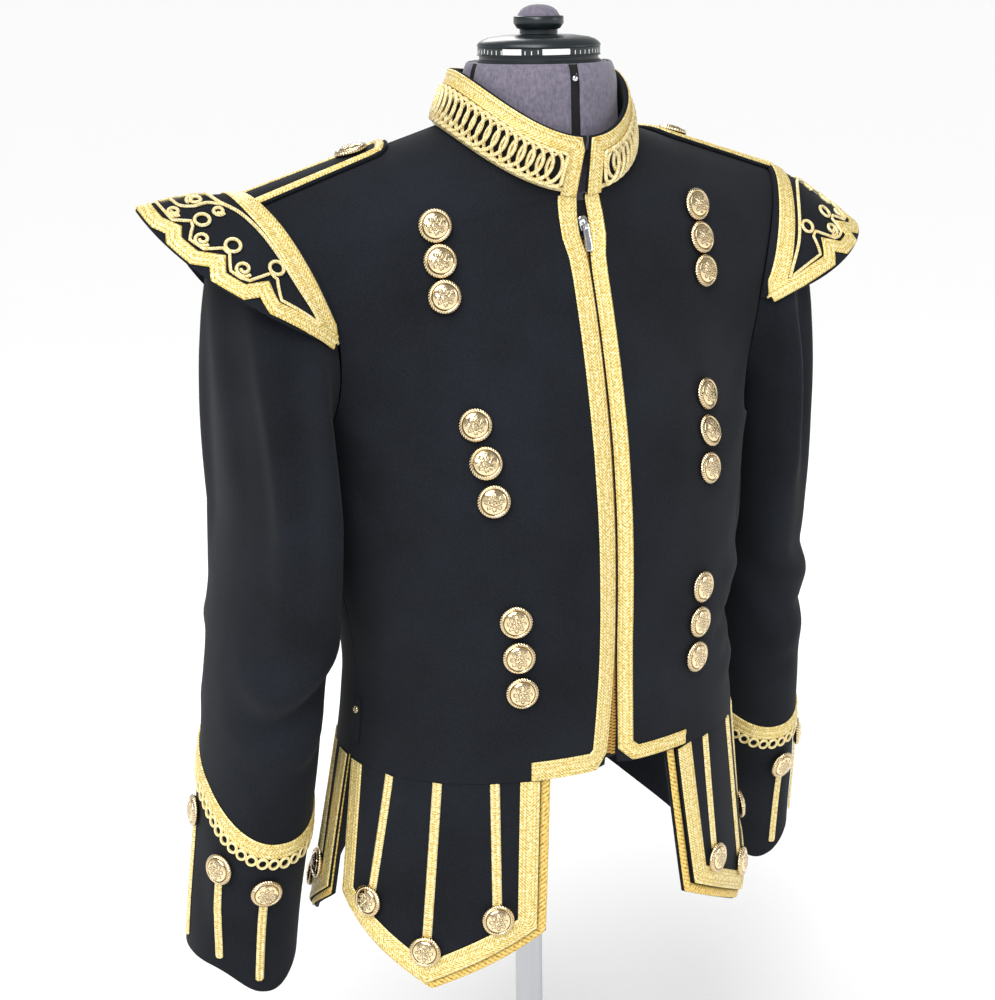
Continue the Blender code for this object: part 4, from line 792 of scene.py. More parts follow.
    def cord(self, bundle: Bundle, finish: Finishes, path: Array, radius: float, lift: float = 0.0, sides: int = 8,
             step: float = 0.002, closed: bool = False, flat: float = 1.0) -> None:
        """Lay a round cord along a path on the surface, resting on it."""
        line = stepped(path, step)
        if closed:
            line = line[:-1]
        place, normal = self.settle(line)
        bundle.tube(finish, place + normal * (radius * flat + lift), normal, radius, sides, closed, flat)

    def seat(self, point: Array, lift: float = 0.0) -> Matrix:
        """Matrix that sets a turned piece on the surface near a point."""
        place, normal = self.settle(np.asarray(point, float)[None])
        turn = Vector(normal[0]).to_track_quat("Z", "Y").to_matrix().to_4x4()
        return Matrix.Translation(Vector(place[0] + normal[0] * lift)) @ turn

    def shell(self, bundle: Bundle, finish: Finishes, wall: float = WALL, lift: float = 0.0) -> None:
        """Add the surface as a wall that goes inwards."""
        outer = self.points + self.normals * lift
        bundle.wall(finish, outer, outer - self.normals * wall, closed=self.closed)


def lace_profile(ribs: Sequence[float] = (-0.55, 0.55), base: float = 0.0008, rib: float = 0.0007,
                 spread: float = 0.16) -> Callable[[Array], Array]:
    """Section of a woven lace: a flat ground with raised ribs.

    Args:
        ribs: where the ribs are, from -1 to 1 across it.
        base: thickness of the ground.
        rib: how far the ribs stand up.
        spread: half width of a rib.

    Returns:
        A function of the place across the strip.
    """
    def section(share: Array) -> Array:
        return base + sum(rib * np.exp(-((share - r) / spread) ** 2) for r in ribs) * np.ones_like(share)
    return section


# Repeats with Geometry Nodes
@dataclass
class Repeater:
    """Copies of one small unit at marked points, made by a Geometry Nodes tree."""

    name: str = "Repeat"

    def tree(self) -> bpy.types.NodeTree:
        """The tree: instances on the points, turned by their own directions, then realised."""
        known = bpy.data.node_groups.get(self.name)
        if known:
            return known
        tree = bpy.data.node_groups.new(self.name, "GeometryNodeTree")
        face = tree.interface
        face.new_socket("Geometry", in_out="INPUT", socket_type="NodeSocketGeometry")
        face.new_socket("Unit", in_out="INPUT", socket_type="NodeSocketObject")
        face.new_socket("Size", in_out="INPUT", socket_type="NodeSocketFloat").default_value = 1.0
        face.new_socket("Uneven", in_out="INPUT", socket_type="NodeSocketFloat").default_value = 0.0
        face.new_socket("Finish", in_out="INPUT", socket_type="NodeSocketMaterial")
        face.new_socket("Geometry", in_out="OUTPUT", socket_type="NodeSocketGeometry")
        inputs = add(tree, "NodeGroupInput").outputs
        unit_shape = add(tree, "GeometryNodeObjectInfo", None, {"Object": inputs["Unit"]}).outputs["Geometry"]
        out = add(tree, "GeometryNodeInputNamedAttribute", {"data_type": "FLOAT_VECTOR"}, {"Name": "facing"})
        along = add(tree, "GeometryNodeInputNamedAttribute", {"data_type": "FLOAT_VECTOR"}, {"Name": "along"})
        first = add(tree, "FunctionNodeAlignRotationToVector", {"axis": "Z"}, {"Vector": out.outputs["Attribute"]})
        turn = add(tree, "FunctionNodeAlignRotationToVector", {"axis": "X", "pivot_axis": "Z"},
                   {"Rotation": first.outputs[0], "Vector": along.outputs["Attribute"]})
        spread = add(tree, "FunctionNodeRandomValue", {"data_type": "FLOAT"}, {"Min": -1.0, "Max": 1.0, "Seed": 7})
        change = add(tree, "ShaderNodeMath", {"operation": "MULTIPLY_ADD"},
                     {0: spread.outputs[1], 1: inputs["Uneven"], 2: 1.0})
        scale = add(tree, "ShaderNodeMath", {"operation": "MULTIPLY"}, {0: change.outputs[0], 1: inputs["Size"]})
        copies = add(tree, "GeometryNodeInstanceOnPoints", None, {
            "Points": inputs["Geometry"], "Instance": unit_shape, "Rotation": turn.outputs[0],
            "Scale": scale.outputs[0]})
        real = add(tree, "GeometryNodeRealizeInstances", None, {0: copies.outputs[0]})
        dress = add(tree, "GeometryNodeSetMaterial", None, {"Geometry": real.outputs[0], "Material": inputs["Finish"]})
        add(tree, "NodeGroupOutput", None, {"Geometry": dress.outputs[0]})
        return tree

    def run(self, name: str, places: Array, facing: Array, along: Array, unit_mesh: bpy.types.Mesh, finish: Finishes,
            size: float = 1.0, uneven: float = 0.0) -> bpy.types.Object:
        """Make the copies as one plain mesh.

        Args:
            name: name of the finished piece.
            places: where the copies go.
            facing: the way each one's Z points.
            along: the way each one's X points.
            unit_mesh: the shape that repeats.
            finish: what it is made of.
            size: a factor on it.
            uneven: how much its size wanders, as a share.

        Returns:
            The object, not yet riding.
        """
        points = bpy.data.meshes.new(name + "_points")
        points.from_pydata(places.tolist(), [], [])
        for label, values in (("facing", facing), ("along", along)):
            points.attributes.new(label, "FLOAT_VECTOR", "POINT").data.foreach_set(
                "vector", values.astype(np.float32).ravel())
        source = bpy.data.objects.new(name + "_unit", unit_mesh)
        holder = bpy.data.objects.new(name + "_holder", points)
        for item in (source, holder):
            bpy.context.scene.collection.objects.link(item)
        nodes = holder.modifiers.new("repeat", "NODES")
        nodes.node_group = self.tree()
        sockets = {s.name: s.identifier for s in nodes.node_group.interface.items_tree if s.in_out == "INPUT"}
        for label, value in (("Unit", source), ("Size", size), ("Uneven", uneven), ("Finish", finish.material())):
            nodes[sockets[label]] = value
        graph = bpy.context.evaluated_depsgraph_get()
        mesh = bpy.data.meshes.new_from_object(holder.evaluated_get(graph), depsgraph=graph)
        for item in (holder, source):
            bpy.data.objects.remove(item, do_unlink=True)
        mesh.name = name
        for label in ("facing", "along"):
            if label in mesh.attributes:
                mesh.attributes.remove(mesh.attributes[label])
        mesh.shade_smooth()
        mesh.set_sharp_from_angle(angle=math.radians(40))
        return bpy.data.objects.new(name, mesh)


def ring_mesh(name: str, reach: tuple[float, float], radius: float, steps: int = 14, sides: int = 5) -> bpy.types.Mesh:
    """An oval ring of cord in its own XY plane."""
    mesh = bpy.data.meshes.new(name)
    points, faces = [], []
    for i in range(steps):
        a = 2 * math.pi * i / steps
        for j in range(sides):
            b = 2 * math.pi * j / sides
            swell = 1 + radius / reach[0] * math.cos(b)
            points.append((reach[0] * swell * math.cos(a),
                           reach[1] * (1 + radius / reach[1] * math.cos(b)) * math.sin(a),
                           radius * math.sin(b)))
            n, m = (i + 1) % steps, (j + 1) % sides
            faces.append((i * sides + j, n * sides + j, n * sides + m, i * sides + m))
    mesh.from_pydata(points, [], faces)
    return mesh


def tooth_mesh(name: str) -> bpy.types.Mesh:
    """One zip tooth: a small block with a nose that hooks over the middle line, X across."""
    mesh = bpy.data.meshes.new(name)
    outline = ((-0.0026, -0.0009), (0.0004, -0.0009), (0.0011, -0.0006), (0.0011, 0.0006), (0.0004, 0.0009),
               (-0.0026, 0.0009))
    points = [(x, y, z) for z in (-0.0010, 0.0010) for x, y in outline]
    n = len(outline)
    faces = [tuple(range(n))[::-1], tuple(range(n, 2 * n))]
    faces += [(i, (i + 1) % n, n + (i + 1) % n, n + i) for i in range(n)]
    mesh.from_pydata(points, [], faces)
    return mesh


# Buttons
@dataclass(frozen=True)
class Button:
    """A domed, stamped gilt button: a rope rim, a groove and a plain rayed boss."""

    radius: float = 0.0121
    height: float = 0.0062
    steps: int = 32
    rays: int = 8
    relief: float = 0.00022

    def profile(self) -> list[tuple[float, float]]:
        """Rings from the top of the dome to the middle of the back."""
        r, h = self.radius, self.height
        return [(0.0, h * 0.99), (r * 0.16, h * 0.985), (r * 0.34, h * 0.95), (r * 0.50, h * 0.875),
                (r * 0.62, h * 0.79), (r * 0.70, h * 0.70), (r * 0.745, h * 0.60), (r * 0.78, h * 0.60),
                (r * 0.83, h * 0.68), (r * 0.90, h * 0.64),
                (r * 0.975, h * 0.46), (r, h * 0.30), (r * 0.97, h * 0.14), (r * 0.86, 0.0), (0.0, 0.0)]

    def put(self, bundle: Bundle, seat: Matrix) -> None:
        """Add the button at its seat."""
        bundle.turned(Finishes.GILT, self.profile(), self.steps, seat, self.rays, self.relief)


BUTTON = Button()


# The doublet's body
@dataclass
class Trunk:
    """Fronts and back: sizes of their sections, and the pieces cut from them."""

    levels: tuple[float, ...] = (0.000, 0.030, 0.060, 0.100, 0.140, 0.190, 0.235)
    side_x: tuple[float, ...] = (0.1610, 0.1575, 0.1540, 0.1565, 0.1635, 0.1735, 0.1800)
    side_y: tuple[float, ...] = (-0.016, -0.018, -0.017, -0.015, -0.012, -0.006, -0.001)
    front_y: tuple[float, ...] = (-0.1330, -0.1352, -0.1368, -0.1382, -0.1388, -0.1372, -0.1325)
    back_y: tuple[float, ...] = (0.101, 0.099, 0.102, 0.108, 0.114, 0.119, 0.122)
    centre_levels: tuple[float, ...] = (0.190, 0.235, 0.285, 0.335, 0.380, 0.414, 0.450, 0.476)
    centre_front: tuple[float, ...] = (-0.1372, -0.1325, -0.1235, -0.1110, -0.0970, -0.0860, -0.0800, -0.0800)
    centre_back: tuple[float, ...] = (0.119, 0.122, 0.122, 0.117, 0.107, 0.095, 0.073, 0.050)
    # Rows above the armpit: armhole angle, height on the centre line or neck angle, turn, slope
    front_rows: tuple[tuple[float, float, float, float], ...] = (
        (0, 0.235, 90, 0.10), (30, 0.275, 80, 0.15), (55, 0.315, 70, 0.25), (80, 0.350, 60, 0.40),
        (102, 0.383, 55, 0.50), (122, 3, 50, 0.60), (130, 20, 48, 0.65), (138, 36, 45, 0.70), (144, 51, 45, 0.75),
        (150, 66, 45, 0.80), (162, 92, 45, 0.90), (171, 101, 45, 1.0), (180, 110, 45, 1.0))
    back_rows: tuple[tuple[float, float, float, float], ...] = (
        (360, 0.235, 90, 0.05), (330, 0.275, 80, 0.10), (305, 0.315, 72, 0.10), (280, 0.352, 66, 0.15),
        (258, 0.388, 60, 0.20), (238, 0.420, 55, 0.30), (222, 0.448, 50, 0.40), (210, 180, 45, 0.60),
        (203, 152, 45, 0.80), (198, 128, 45, 0.90), (189, 119, 45, 1.0), (180, 110, 45, 1.0))
    row_step: float = 0.0042
    rows_between: int = 8
    near: float = 0.0032
    near_columns: int = 20
    shares: int = 54
    buttons: tuple[tuple[float, float, float, float], ...] = (
        (0.397, 0.1065, 0.350, 0.1065), (0.263, 0.0950, 0.211, 0.0890), (0.124, 0.0780, 0.070, 0.0735))
    skins: dict[tuple[bool, Side], Skin] = field(default_factory=dict)

    @staticmethod
    def gap(height: float) -> float:
        """Half the gap between the fronts: wider at the hem and round the zip's slider."""
        low = 0.0045 * max(0.0, 1 - height / 0.10) ** 1.5
        return 0.0012 + low + 0.0036 * math.exp(-(((height - 0.392) / 0.016) ** 4))

    @staticmethod
    def bend(start: Array, end: Array, turn: float, slope: float, power: float, roll: float) -> Array:
        """A row from its centre edge round to its outer edge, closely spaced."""
        theta = np.linspace(0, math.radians(turn), 160)
        across, along = np.sin(theta) ** (2 / power), 1 - np.cos(theta).clip(0) ** (2 / power)
        across, along = across / across[-1], along / along[-1]
        row = start + np.outer(across, end - start)
        row[:, 1] = start[1] + (slope * across + (1 - slope) * along) * (end[1] - start[1])
        row[:, 1] += roll * (1 - (row[:, 0] - start[0]) / 0.020).clip(0) ** 2
        return row

    def low_row(self, height: float, front: bool, gap: bool = True) -> Array:
        """A level row below the armpit."""
        y = follow(self.levels, self.front_y if front else self.back_y, height)
        start = np.array([self.gap(height) if front and gap else 0.0, y, height])
        end = np.array([follow(self.levels, self.side_x, height), follow(self.levels, self.side_y, height), height])
        chest = max(0.0, height - 0.12) / 0.115
        return self.bend(start, end, 90, (0.10 if front else 0.05) * chest, 2.2, 0.0045 if front and gap else 0.0)

    def high_row(self, knot: float, front: bool) -> Array:
        """A row above the armpit, at a fraction of the table's rows."""
        table = np.array(self.front_rows if front else self.back_rows)
        knots = np.arange(len(table))
        arm, turn, slope = (float(follow(knots, table[:, k], knot)) for k in (0, 2, 3))
        level = table[:, 1] < 1
        last = int(level.sum()) - 1
        if knot < last + 1:
            joint = float(NECKLINE.point(0.0 if front else 180.0)[2])
            rise = np.append(table[:last + 1, 1], joint)
            height = float(follow(np.arange(last + 2), rise, knot))
            y = float(follow(self.centre_levels, self.centre_front if front else self.centre_back, height))
            width = self.gap(height) if front else 0.0
            start = np.array([width, y, height])
            if knot > last:
                neck = NECKLINE.point(float(table[last + 1, 1]))
                start += (neck - start) * (knot - last) ** 2
        else:
            start = NECKLINE.point(float(follow(knots[last + 1:], table[last + 1:, 1], knot)))
        end = ARMHOLE.point(arm)
        if knot < 1:
            side = np.array([self.side_x[-1], self.side_y[-1], self.levels[-1]])
            end = end + (side - ARMHOLE.point(table[0, 0])) * (1 - knot) ** 2
        roll = 0.0045 * float(np.clip((last + 1.3 - knot), 0, 1)) if front else 0.0
        return self.bend(start, end, turn, slope, 2.2 - 0.15 * min(1.0, knot), roll)

    def column(self, distance: float) -> float:
        """Column at a distance from the centre edge."""
        return distance / self.near

    def row(self, height: float) -> float:
        """Row at a height on the centre edge."""
        return float(np.interp(height, self.row_heights, np.arange(len(self.row_heights))))

    def skin(self, front: bool, side: Side) -> Skin:
        """The outer surface of one half, as on the wearer's left."""
        if (front, side) in self.skins:
            return self.skins[front, side]
        low = np.linspace(0, 0.235, int(0.235 / self.row_step) + 1)[:-1]
        count = len(self.front_rows if front else self.back_rows) - 1
        knots = np.arange(count * self.rows_between + 1) / self.rows_between
        rows = [self.low_row(h, front) for h in low] + [self.high_row(k, front) for k in knots]
        grid = []
        for line in rows:
            run = run_of(line)
            fixed = np.arange(self.near_columns + 1) * self.near
            rest = fixed[-1] + (run[-1] - fixed[-1]) * np.arange(1, self.shares + 1) / self.shares
            at = np.concatenate([fixed, rest])
            grid.append(np.stack([np.interp(at, run, line[:, k]) for k in range(3)], 1))
        grid = np.array(grid)
        if front:
            self.row_heights = grid[:len(low) + 5 * self.rows_between, 0, 2]
        rough = grid - np.array([0.0, -0.01, 0.30])
        rough[..., 2] = np.maximum(0.0, grid[..., 2] - 0.36) * 4
        skin = Skin(grid, rough, folds=FOLDS_FRONT[side] if front else FOLDS_BACK[side])
        self.skins[front, side] = skin
        return skin

    def trimmed(self, skin: Skin) -> Array:
        """The grid pulled back from its neighbours at the outer and top edges."""
        grid = skin.points.copy()
        step = unit(grid[:, -2] - grid[:, -1])
        grid[:, -1] += step * np.where(grid[:, -1, 2] < 0.225, SEAM * 1.7, SEAM * 3)[:, None]
        grid[-1] += unit(grid[-2] - grid[-1]) * SEAM * 2
        return grid

    def build_cloth(self) -> None:
        """The two fronts and the back, each a wall of wool with its lining turned in."""
        for side in Side:
            skin = self.skin(True, side)
            grid = self.trimmed(skin)
            bundle = Bundle("front_wool_" + side.name, side)
            bundle.wall(Finishes.WOOL, grid, grid - skin.normals * WALL)
            piece = bundle.made("cloth", ["front_" + side.name])
        bundle = Bundle("back_wool")
        halves = []
        for side in (Side.R, Side.L):
            skin = self.skin(False, side)
            grid = self.trimmed(skin)
            normals = skin.normals.copy()
            normals[:, 0, 0] = 0
            inner = grid - unit(normals) * WALL
            grid[:, 0, 0] = np.where(skin.points[:, 0, 0] < 0.001, 0, grid[:, 0, 0])
            inner[:, 0, 0] = np.where(skin.points[:, 0, 0] < 0.001, 0, inner[:, 0, 0])
            halves.append((grid * side.flip, inner * side.flip))
        low = int((self.skin(False, Side.L).points[:, 0, 0] < 0.001).sum())
        (right, right_in), (left, left_in) = halves
        joined = [np.concatenate([a[:, :0:-1], b], axis=1) for a, b in ((right, left), (right_in, left_in))]
        bundle.wall(Finishes.WOOL, joined[0][:low], joined[1][:low])
        for outer, inner in ((right, right_in), (left, left_in)):
            bundle.wall(Finishes.WOOL, outer[low - 1:], inner[low - 1:])
        piece = bundle.made("cloth", ["back"])

    def build_edge_braid(self) -> None:
        """Lace down each front edge and along the first stretch of hem, wider on the right."""
        for side in Side:
            skin = self.skin(True, side)
            half = (BRAID_WIDTH if side is Side.R else 0.0112) / 2
            heights = np.linspace(0.4144, 0.0068, 60)
            column = self.column(half + 0.0004)
            down = np.array([skin.at(self.row(h), column) for h in heights])
            down[0] += unit(down[0] - down[3]) * 0.0012
            hem = np.array([skin.at(self.row(0.0068), self.column(d)) for d in np.linspace(0.010, 0.062, 16)])
            bundle = Bundle("front_lace_" + side.name, side)
            skin.strip(bundle, Finishes.LACE, np.concatenate([down[::2], hem[1:]]), half, SEAM, EDGE_LACE, 13)
            bundle.made("braid", ["front_braid_" + side.name])

    def build_buttons(self) -> None:
        """Two columns of nine buttons."""
        for side in Side:
            skin = self.skin(True, side)
            number = 0
            for top_h, top_x, low_h, low_x in self.buttons:
                for share in (0.0, 0.5, 1.0):
                    number += 1
                    place = skin.facing(top_x + (low_x - top_x) * share, top_h + (low_h - top_h) * share)
                    bundle = Bundle("button_gilt_%s%d" % (side.name, number), side)
                    BUTTON.put(bundle, skin.seat(place, SEAM * 3))
                    bundle.made("gilt", ["button_%s%d" % (side.name, number)])


@dataclass(frozen=True)
class Oval:
    """The neckline or the collar's top edge, an angle round it from the front to the back."""

    half_x: float
    half_y: float
    centre_y: float
    front_h: float
    rise: float
    dip: float
    crest: float = 105.0

    def point(self, angle: float) -> Array:
        """A point of it."""
        turn = math.radians(angle)
        climb = (1 - math.cos(math.pi * min(1.0, angle / self.crest))) / 2
        past = max(0.0, angle - self.crest) / (180 - self.crest)
        return np.array([self.half_x * math.sin(turn), self.centre_y - self.half_y * math.cos(turn),
                         self.front_h + self.rise * climb - self.dip * past ** 2])


@dataclass(frozen=True)
class Armhole:
    """The armhole's line: 0 at the armpit, 90 in front, 180 on the shoulder."""

    x: float = 0.1800
    lean: float = 0.034
    tuck: float = 0.012
    middle: tuple[float, float] = (0.004, 0.3255)
    half: tuple[float, float] = (0.062, 0.0905)

    def point(self, angle: float) -> Array:
        """A point of it."""
        turn = math.radians(angle)
        lean = self.lean * ((1 - math.cos(turn)) / 2) ** 2
        return np.array([self.x + lean - self.tuck * max(0.0, math.sin(turn)) ** 2,
                         self.middle[0] - self.half[0] * math.sin(turn),
                         self.middle[1] - self.half[1] * math.cos(turn)])


NECKLINE = Oval(0.0715, 0.068, -0.018, 0.4140, 0.0435, 0.003)
COLLAR_TOP = Oval(0.0605, 0.070, -0.026, 0.4535, 0.0435, 0.006)
ARMHOLE = Armhole()
EDGE_LACE = lace_profile((-0.86, -0.5, 0.5, 0.86), 0.0007, 0.0006, 0.10)
FOLDS_FRONT: dict[Side, tuple[Fold, ...]] = {
    Side.R: (
        Fold(((0.172, -0.045, 0.272), (0.150, -0.080, 0.235), (0.118, -0.112, 0.195)), 0.012, 0.0040),
        Fold(((0.176, -0.030, 0.250), (0.162, -0.062, 0.205), (0.140, -0.090, 0.160)), 0.011, -0.0034),
        Fold(((0.158, -0.078, 0.330), (0.128, -0.105, 0.300), (0.100, -0.118, 0.262)), 0.014, 0.0022),
        Fold(((0.156, -0.035, 0.100), (0.130, -0.090, 0.112), (0.095, -0.120, 0.100)), 0.010, 0.0028),
        Fold(((0.154, -0.030, 0.062), (0.132, -0.082, 0.070), (0.105, -0.112, 0.058)), 0.009, -0.0030),
        Fold(((0.156, -0.030, 0.030), (0.138, -0.078, 0.038), (0.112, -0.106, 0.026)), 0.009, 0.0022),
        Fold(((0.166, -0.030, 0.180), (0.140, -0.090, 0.170), (0.110, -0.118, 0.150)), 0.014, -0.0022),
        Fold(((0.060, -0.128, 0.330), (0.055, -0.136, 0.250), (0.050, -0.140, 0.170)), 0.018, 0.0016),
        Fold(((0.118, -0.110, 0.025), (0.120, -0.110, 0.100), (0.128, -0.106, 0.160)), 0.004, -0.0011)),
    Side.L: (
        Fold(((0.172, -0.045, 0.268), (0.148, -0.084, 0.238), (0.112, -0.116, 0.205)), 0.013, 0.0036),
        Fold(((0.174, -0.034, 0.245), (0.158, -0.066, 0.198), (0.132, -0.096, 0.150)), 0.012, -0.0036),
        Fold(((0.160, -0.074, 0.340), (0.132, -0.100, 0.318), (0.100, -0.116, 0.290)), 0.014, 0.0024),
        Fold(((0.157, -0.030, 0.108), (0.135, -0.084, 0.120), (0.102, -0.116, 0.116)), 0.011, 0.0030),
        Fold(((0.154, -0.030, 0.072), (0.130, -0.084, 0.084), (0.098, -0.118, 0.078)), 0.009, -0.0034),
        Fold(((0.156, -0.030, 0.036), (0.136, -0.080, 0.048), (0.110, -0.110, 0.040)), 0.010, 0.0026),
        Fold(((0.062, -0.128, 0.320), (0.058, -0.136, 0.240), (0.050, -0.140, 0.180)), 0.018, 0.0014),
        Fold(((0.118, -0.110, 0.025), (0.120, -0.110, 0.100), (0.128, -0.106, 0.160)), 0.004, -0.0011)),
}
FOLDS_BACK: dict[Side, tuple[Fold, ...]] = {
    Side.R: (
        Fold(((0.170, 0.050, 0.270), (0.140, 0.090, 0.225), (0.100, 0.112, 0.190)), 0.013, 0.0040),
        Fold(((0.172, 0.040, 0.240), (0.150, 0.078, 0.190), (0.118, 0.100, 0.150)), 0.012, -0.0034),
        Fold(((0.150, 0.040, 0.095), (0.110, 0.086, 0.084), (0.050, 0.102, 0.090)), 0.010, 0.0030),
        Fold(((0.150, 0.036, 0.060), (0.105, 0.084, 0.052), (0.040, 0.100, 0.058)), 0.010, -0.0030),
        Fold(((0.120, 0.095, 0.360), (0.070, 0.112, 0.330), (0.020, 0.118, 0.325)), 0.016, 0.0020),
        Fold(((0.075, 0.096, 0.005), (0.080, 0.106, 0.120), (0.105, 0.108, 0.240), (0.140, 0.085, 0.330)), 0.0035,
             -0.0012)),
    Side.L: (
        Fold(((0.172, 0.046, 0.262), (0.142, 0.088, 0.215), (0.108, 0.108, 0.170)), 0.013, 0.0036),
        Fold(((0.174, 0.036, 0.232), (0.150, 0.076, 0.180), (0.124, 0.096, 0.135)), 0.011, -0.0036),
        Fold(((0.150, 0.042, 0.105), (0.112, 0.086, 0.098), (0.060, 0.102, 0.104)), 0.011, 0.0028),
        Fold(((0.150, 0.036, 0.068), (0.108, 0.084, 0.058), (0.046, 0.100, 0.066)), 0.009, -0.0032),
        Fold(((0.122, 0.094, 0.350), (0.074, 0.112, 0.318), (0.028, 0.118, 0.305)), 0.017, 0.0020),
        Fold(((0.075, 0.096, 0.005), (0.080, 0.106, 0.120), (0.105, 0.108, 0.240), (0.140, 0.085, 0.330)), 0.0035,
             -0.0012)),
}


# Collar
@dataclass
class Collar:
    """Stand collar: wool inside, and outside lace bands round a field of interlaced cord loops."""

    columns: int = 100
    rows: int = 15
    start: float = 1.4
    front_open: tuple[float, float, float] = (0.0042, 0.0030, 0.0016)
    band: float = 0.0116
    loop_pitch: float = 0.0067
    loop_half: tuple[float, float] = (0.0100, 0.0124)
    cord: float = 0.00135

    def skin(self) -> Skin:
        """Outer surface, from the left front round the back to the right front."""
        angles = np.linspace(self.start, 180, self.columns)
        shares = np.linspace(0, 1, self.rows)
        half = np.array([[NECKLINE.point(a) * (1 - s) + COLLAR_TOP.point(a) * s for a in angles] for s in shares])
        half[..., 2] += SEAM * 2 * (1 - shares)[:, None]
        want = np.interp(shares, (0, 0.5, 1), self.front_open)
        half[..., 0] += (want - half[:, 0, 0])[:, None] * np.exp(-(angles - self.start) / 5)[None]
        half[:, -1, 0] = 0.0
        whole = np.concatenate([half, half[:, -2::-1] * Side.R.flip], axis=1)
        rough = whole - np.array([0.0, -0.02, 0.45])
        rough[..., 2] = 0
        return Skin(whole, rough)

    def line(self, skin: Skin, share: float, inset: float, count: int = 240) -> Array:
        """A line round the collar at a share of its height, stopping short of the front edges."""
        row = share * (self.rows - 1)
        whole = skin.at(row, np.linspace(0, skin.points.shape[1] - 1, 800))
        run = run_of(whole)
        at = np.linspace(inset, run[-1] - inset, count)
        return np.stack([np.interp(at, run, whole[:, k]) for k in range(3)], 1)

    def loops(self, skin: Skin, centre: float, inset: float) -> tuple[Array, Array]:
        """The coiled cord of the field, with how high each point rides over the one before."""
        middle = self.line(skin, centre, inset + 0.001, 600)
        run = run_of(middle)
        count = int(run[-1] / self.loop_pitch)
        turn = np.linspace(0, 2 * math.pi * count, count * 26)
        along = np.clip(run[-1] * turn / turn[-1] + self.loop_half[0] * np.sin(turn), 0, run[-1])
        base = np.stack([np.interp(along, run, middle[:, k]) for k in range(3)], 1)
        up = skin.at((centre + 0.1) * (self.rows - 1), 5.0) - skin.at(centre * (self.rows - 1), 5.0)
        _, normal = skin.settle(base)
        ahead = unit(np.gradient(middle, axis=0))
        ahead = np.stack([np.interp(along, run, ahead[:, k]) for k in range(3)], 1)
        rise = unit(np.cross(normal, ahead))
        rise *= np.sign((rise @ up)[0])
        path = base - rise * (self.loop_half[1] * np.cos(turn))[:, None]
        return path, self.cord * (1.0 + 0.9 * np.sin(turn + 0.4))

    def build(self) -> None:
        """Wool wall, lace and the coil."""
        skin = self.skin()
        bundle = Bundle("collar_wool")
        skin.shell(bundle, Finishes.WOOL)
        piece = bundle.made("cloth", ["collar"])
        ground = Bundle("collar_ground")
        outer = skin.points + skin.normals * 0.0011
        ground.wall(Finishes.FELT, outer[1:], (skin.points + skin.normals * 0.0004)[1:])
        ground.made("braid")
        lace = Bundle("collar_lace", finishes=[])
        height = float(np.linalg.norm(skin.points[-1, 50] - skin.points[0, 50]))
        top = 1 - (self.band / 2 + 0.0002) / height
        over = self.line(skin, top, self.band / 2 + 0.0003)
        fronts = [np.array([self.line(skin, share, self.band / 2 + 0.0003)[end] for share in (0.0, 0.0, 0.5, 0.75)])
                  for end in (0, -1)]
        for front in fronts:
            front[0] += (front[1] - front[2]) * 0.09
        skin.strip(lace, Finishes.LACE, np.concatenate([fronts[0], over[::2], fronts[1][::-1]]), self.band / 2, 0.0012,
                   EDGE_LACE, 13)
        foot = self.line(skin, 0.05, self.band)
        skin.strip(lace, Finishes.CORD, foot, 0.0016, 0.0012, lace_profile((0.0,), 0.0005, 0.0013, 0.6), 7)
        centre = 0.5 * (0.07 + top - self.band / 2 / height)
        path, ride = self.loops(skin, centre, self.band + 0.0006)
        place, normal = skin.settle(path)
        lace.tube(Finishes.CORD, place + normal * (0.0012 + self.cord + ride)[:, None], normal, self.cord, 6)
        lace.made("braid", ["collar_braid"])


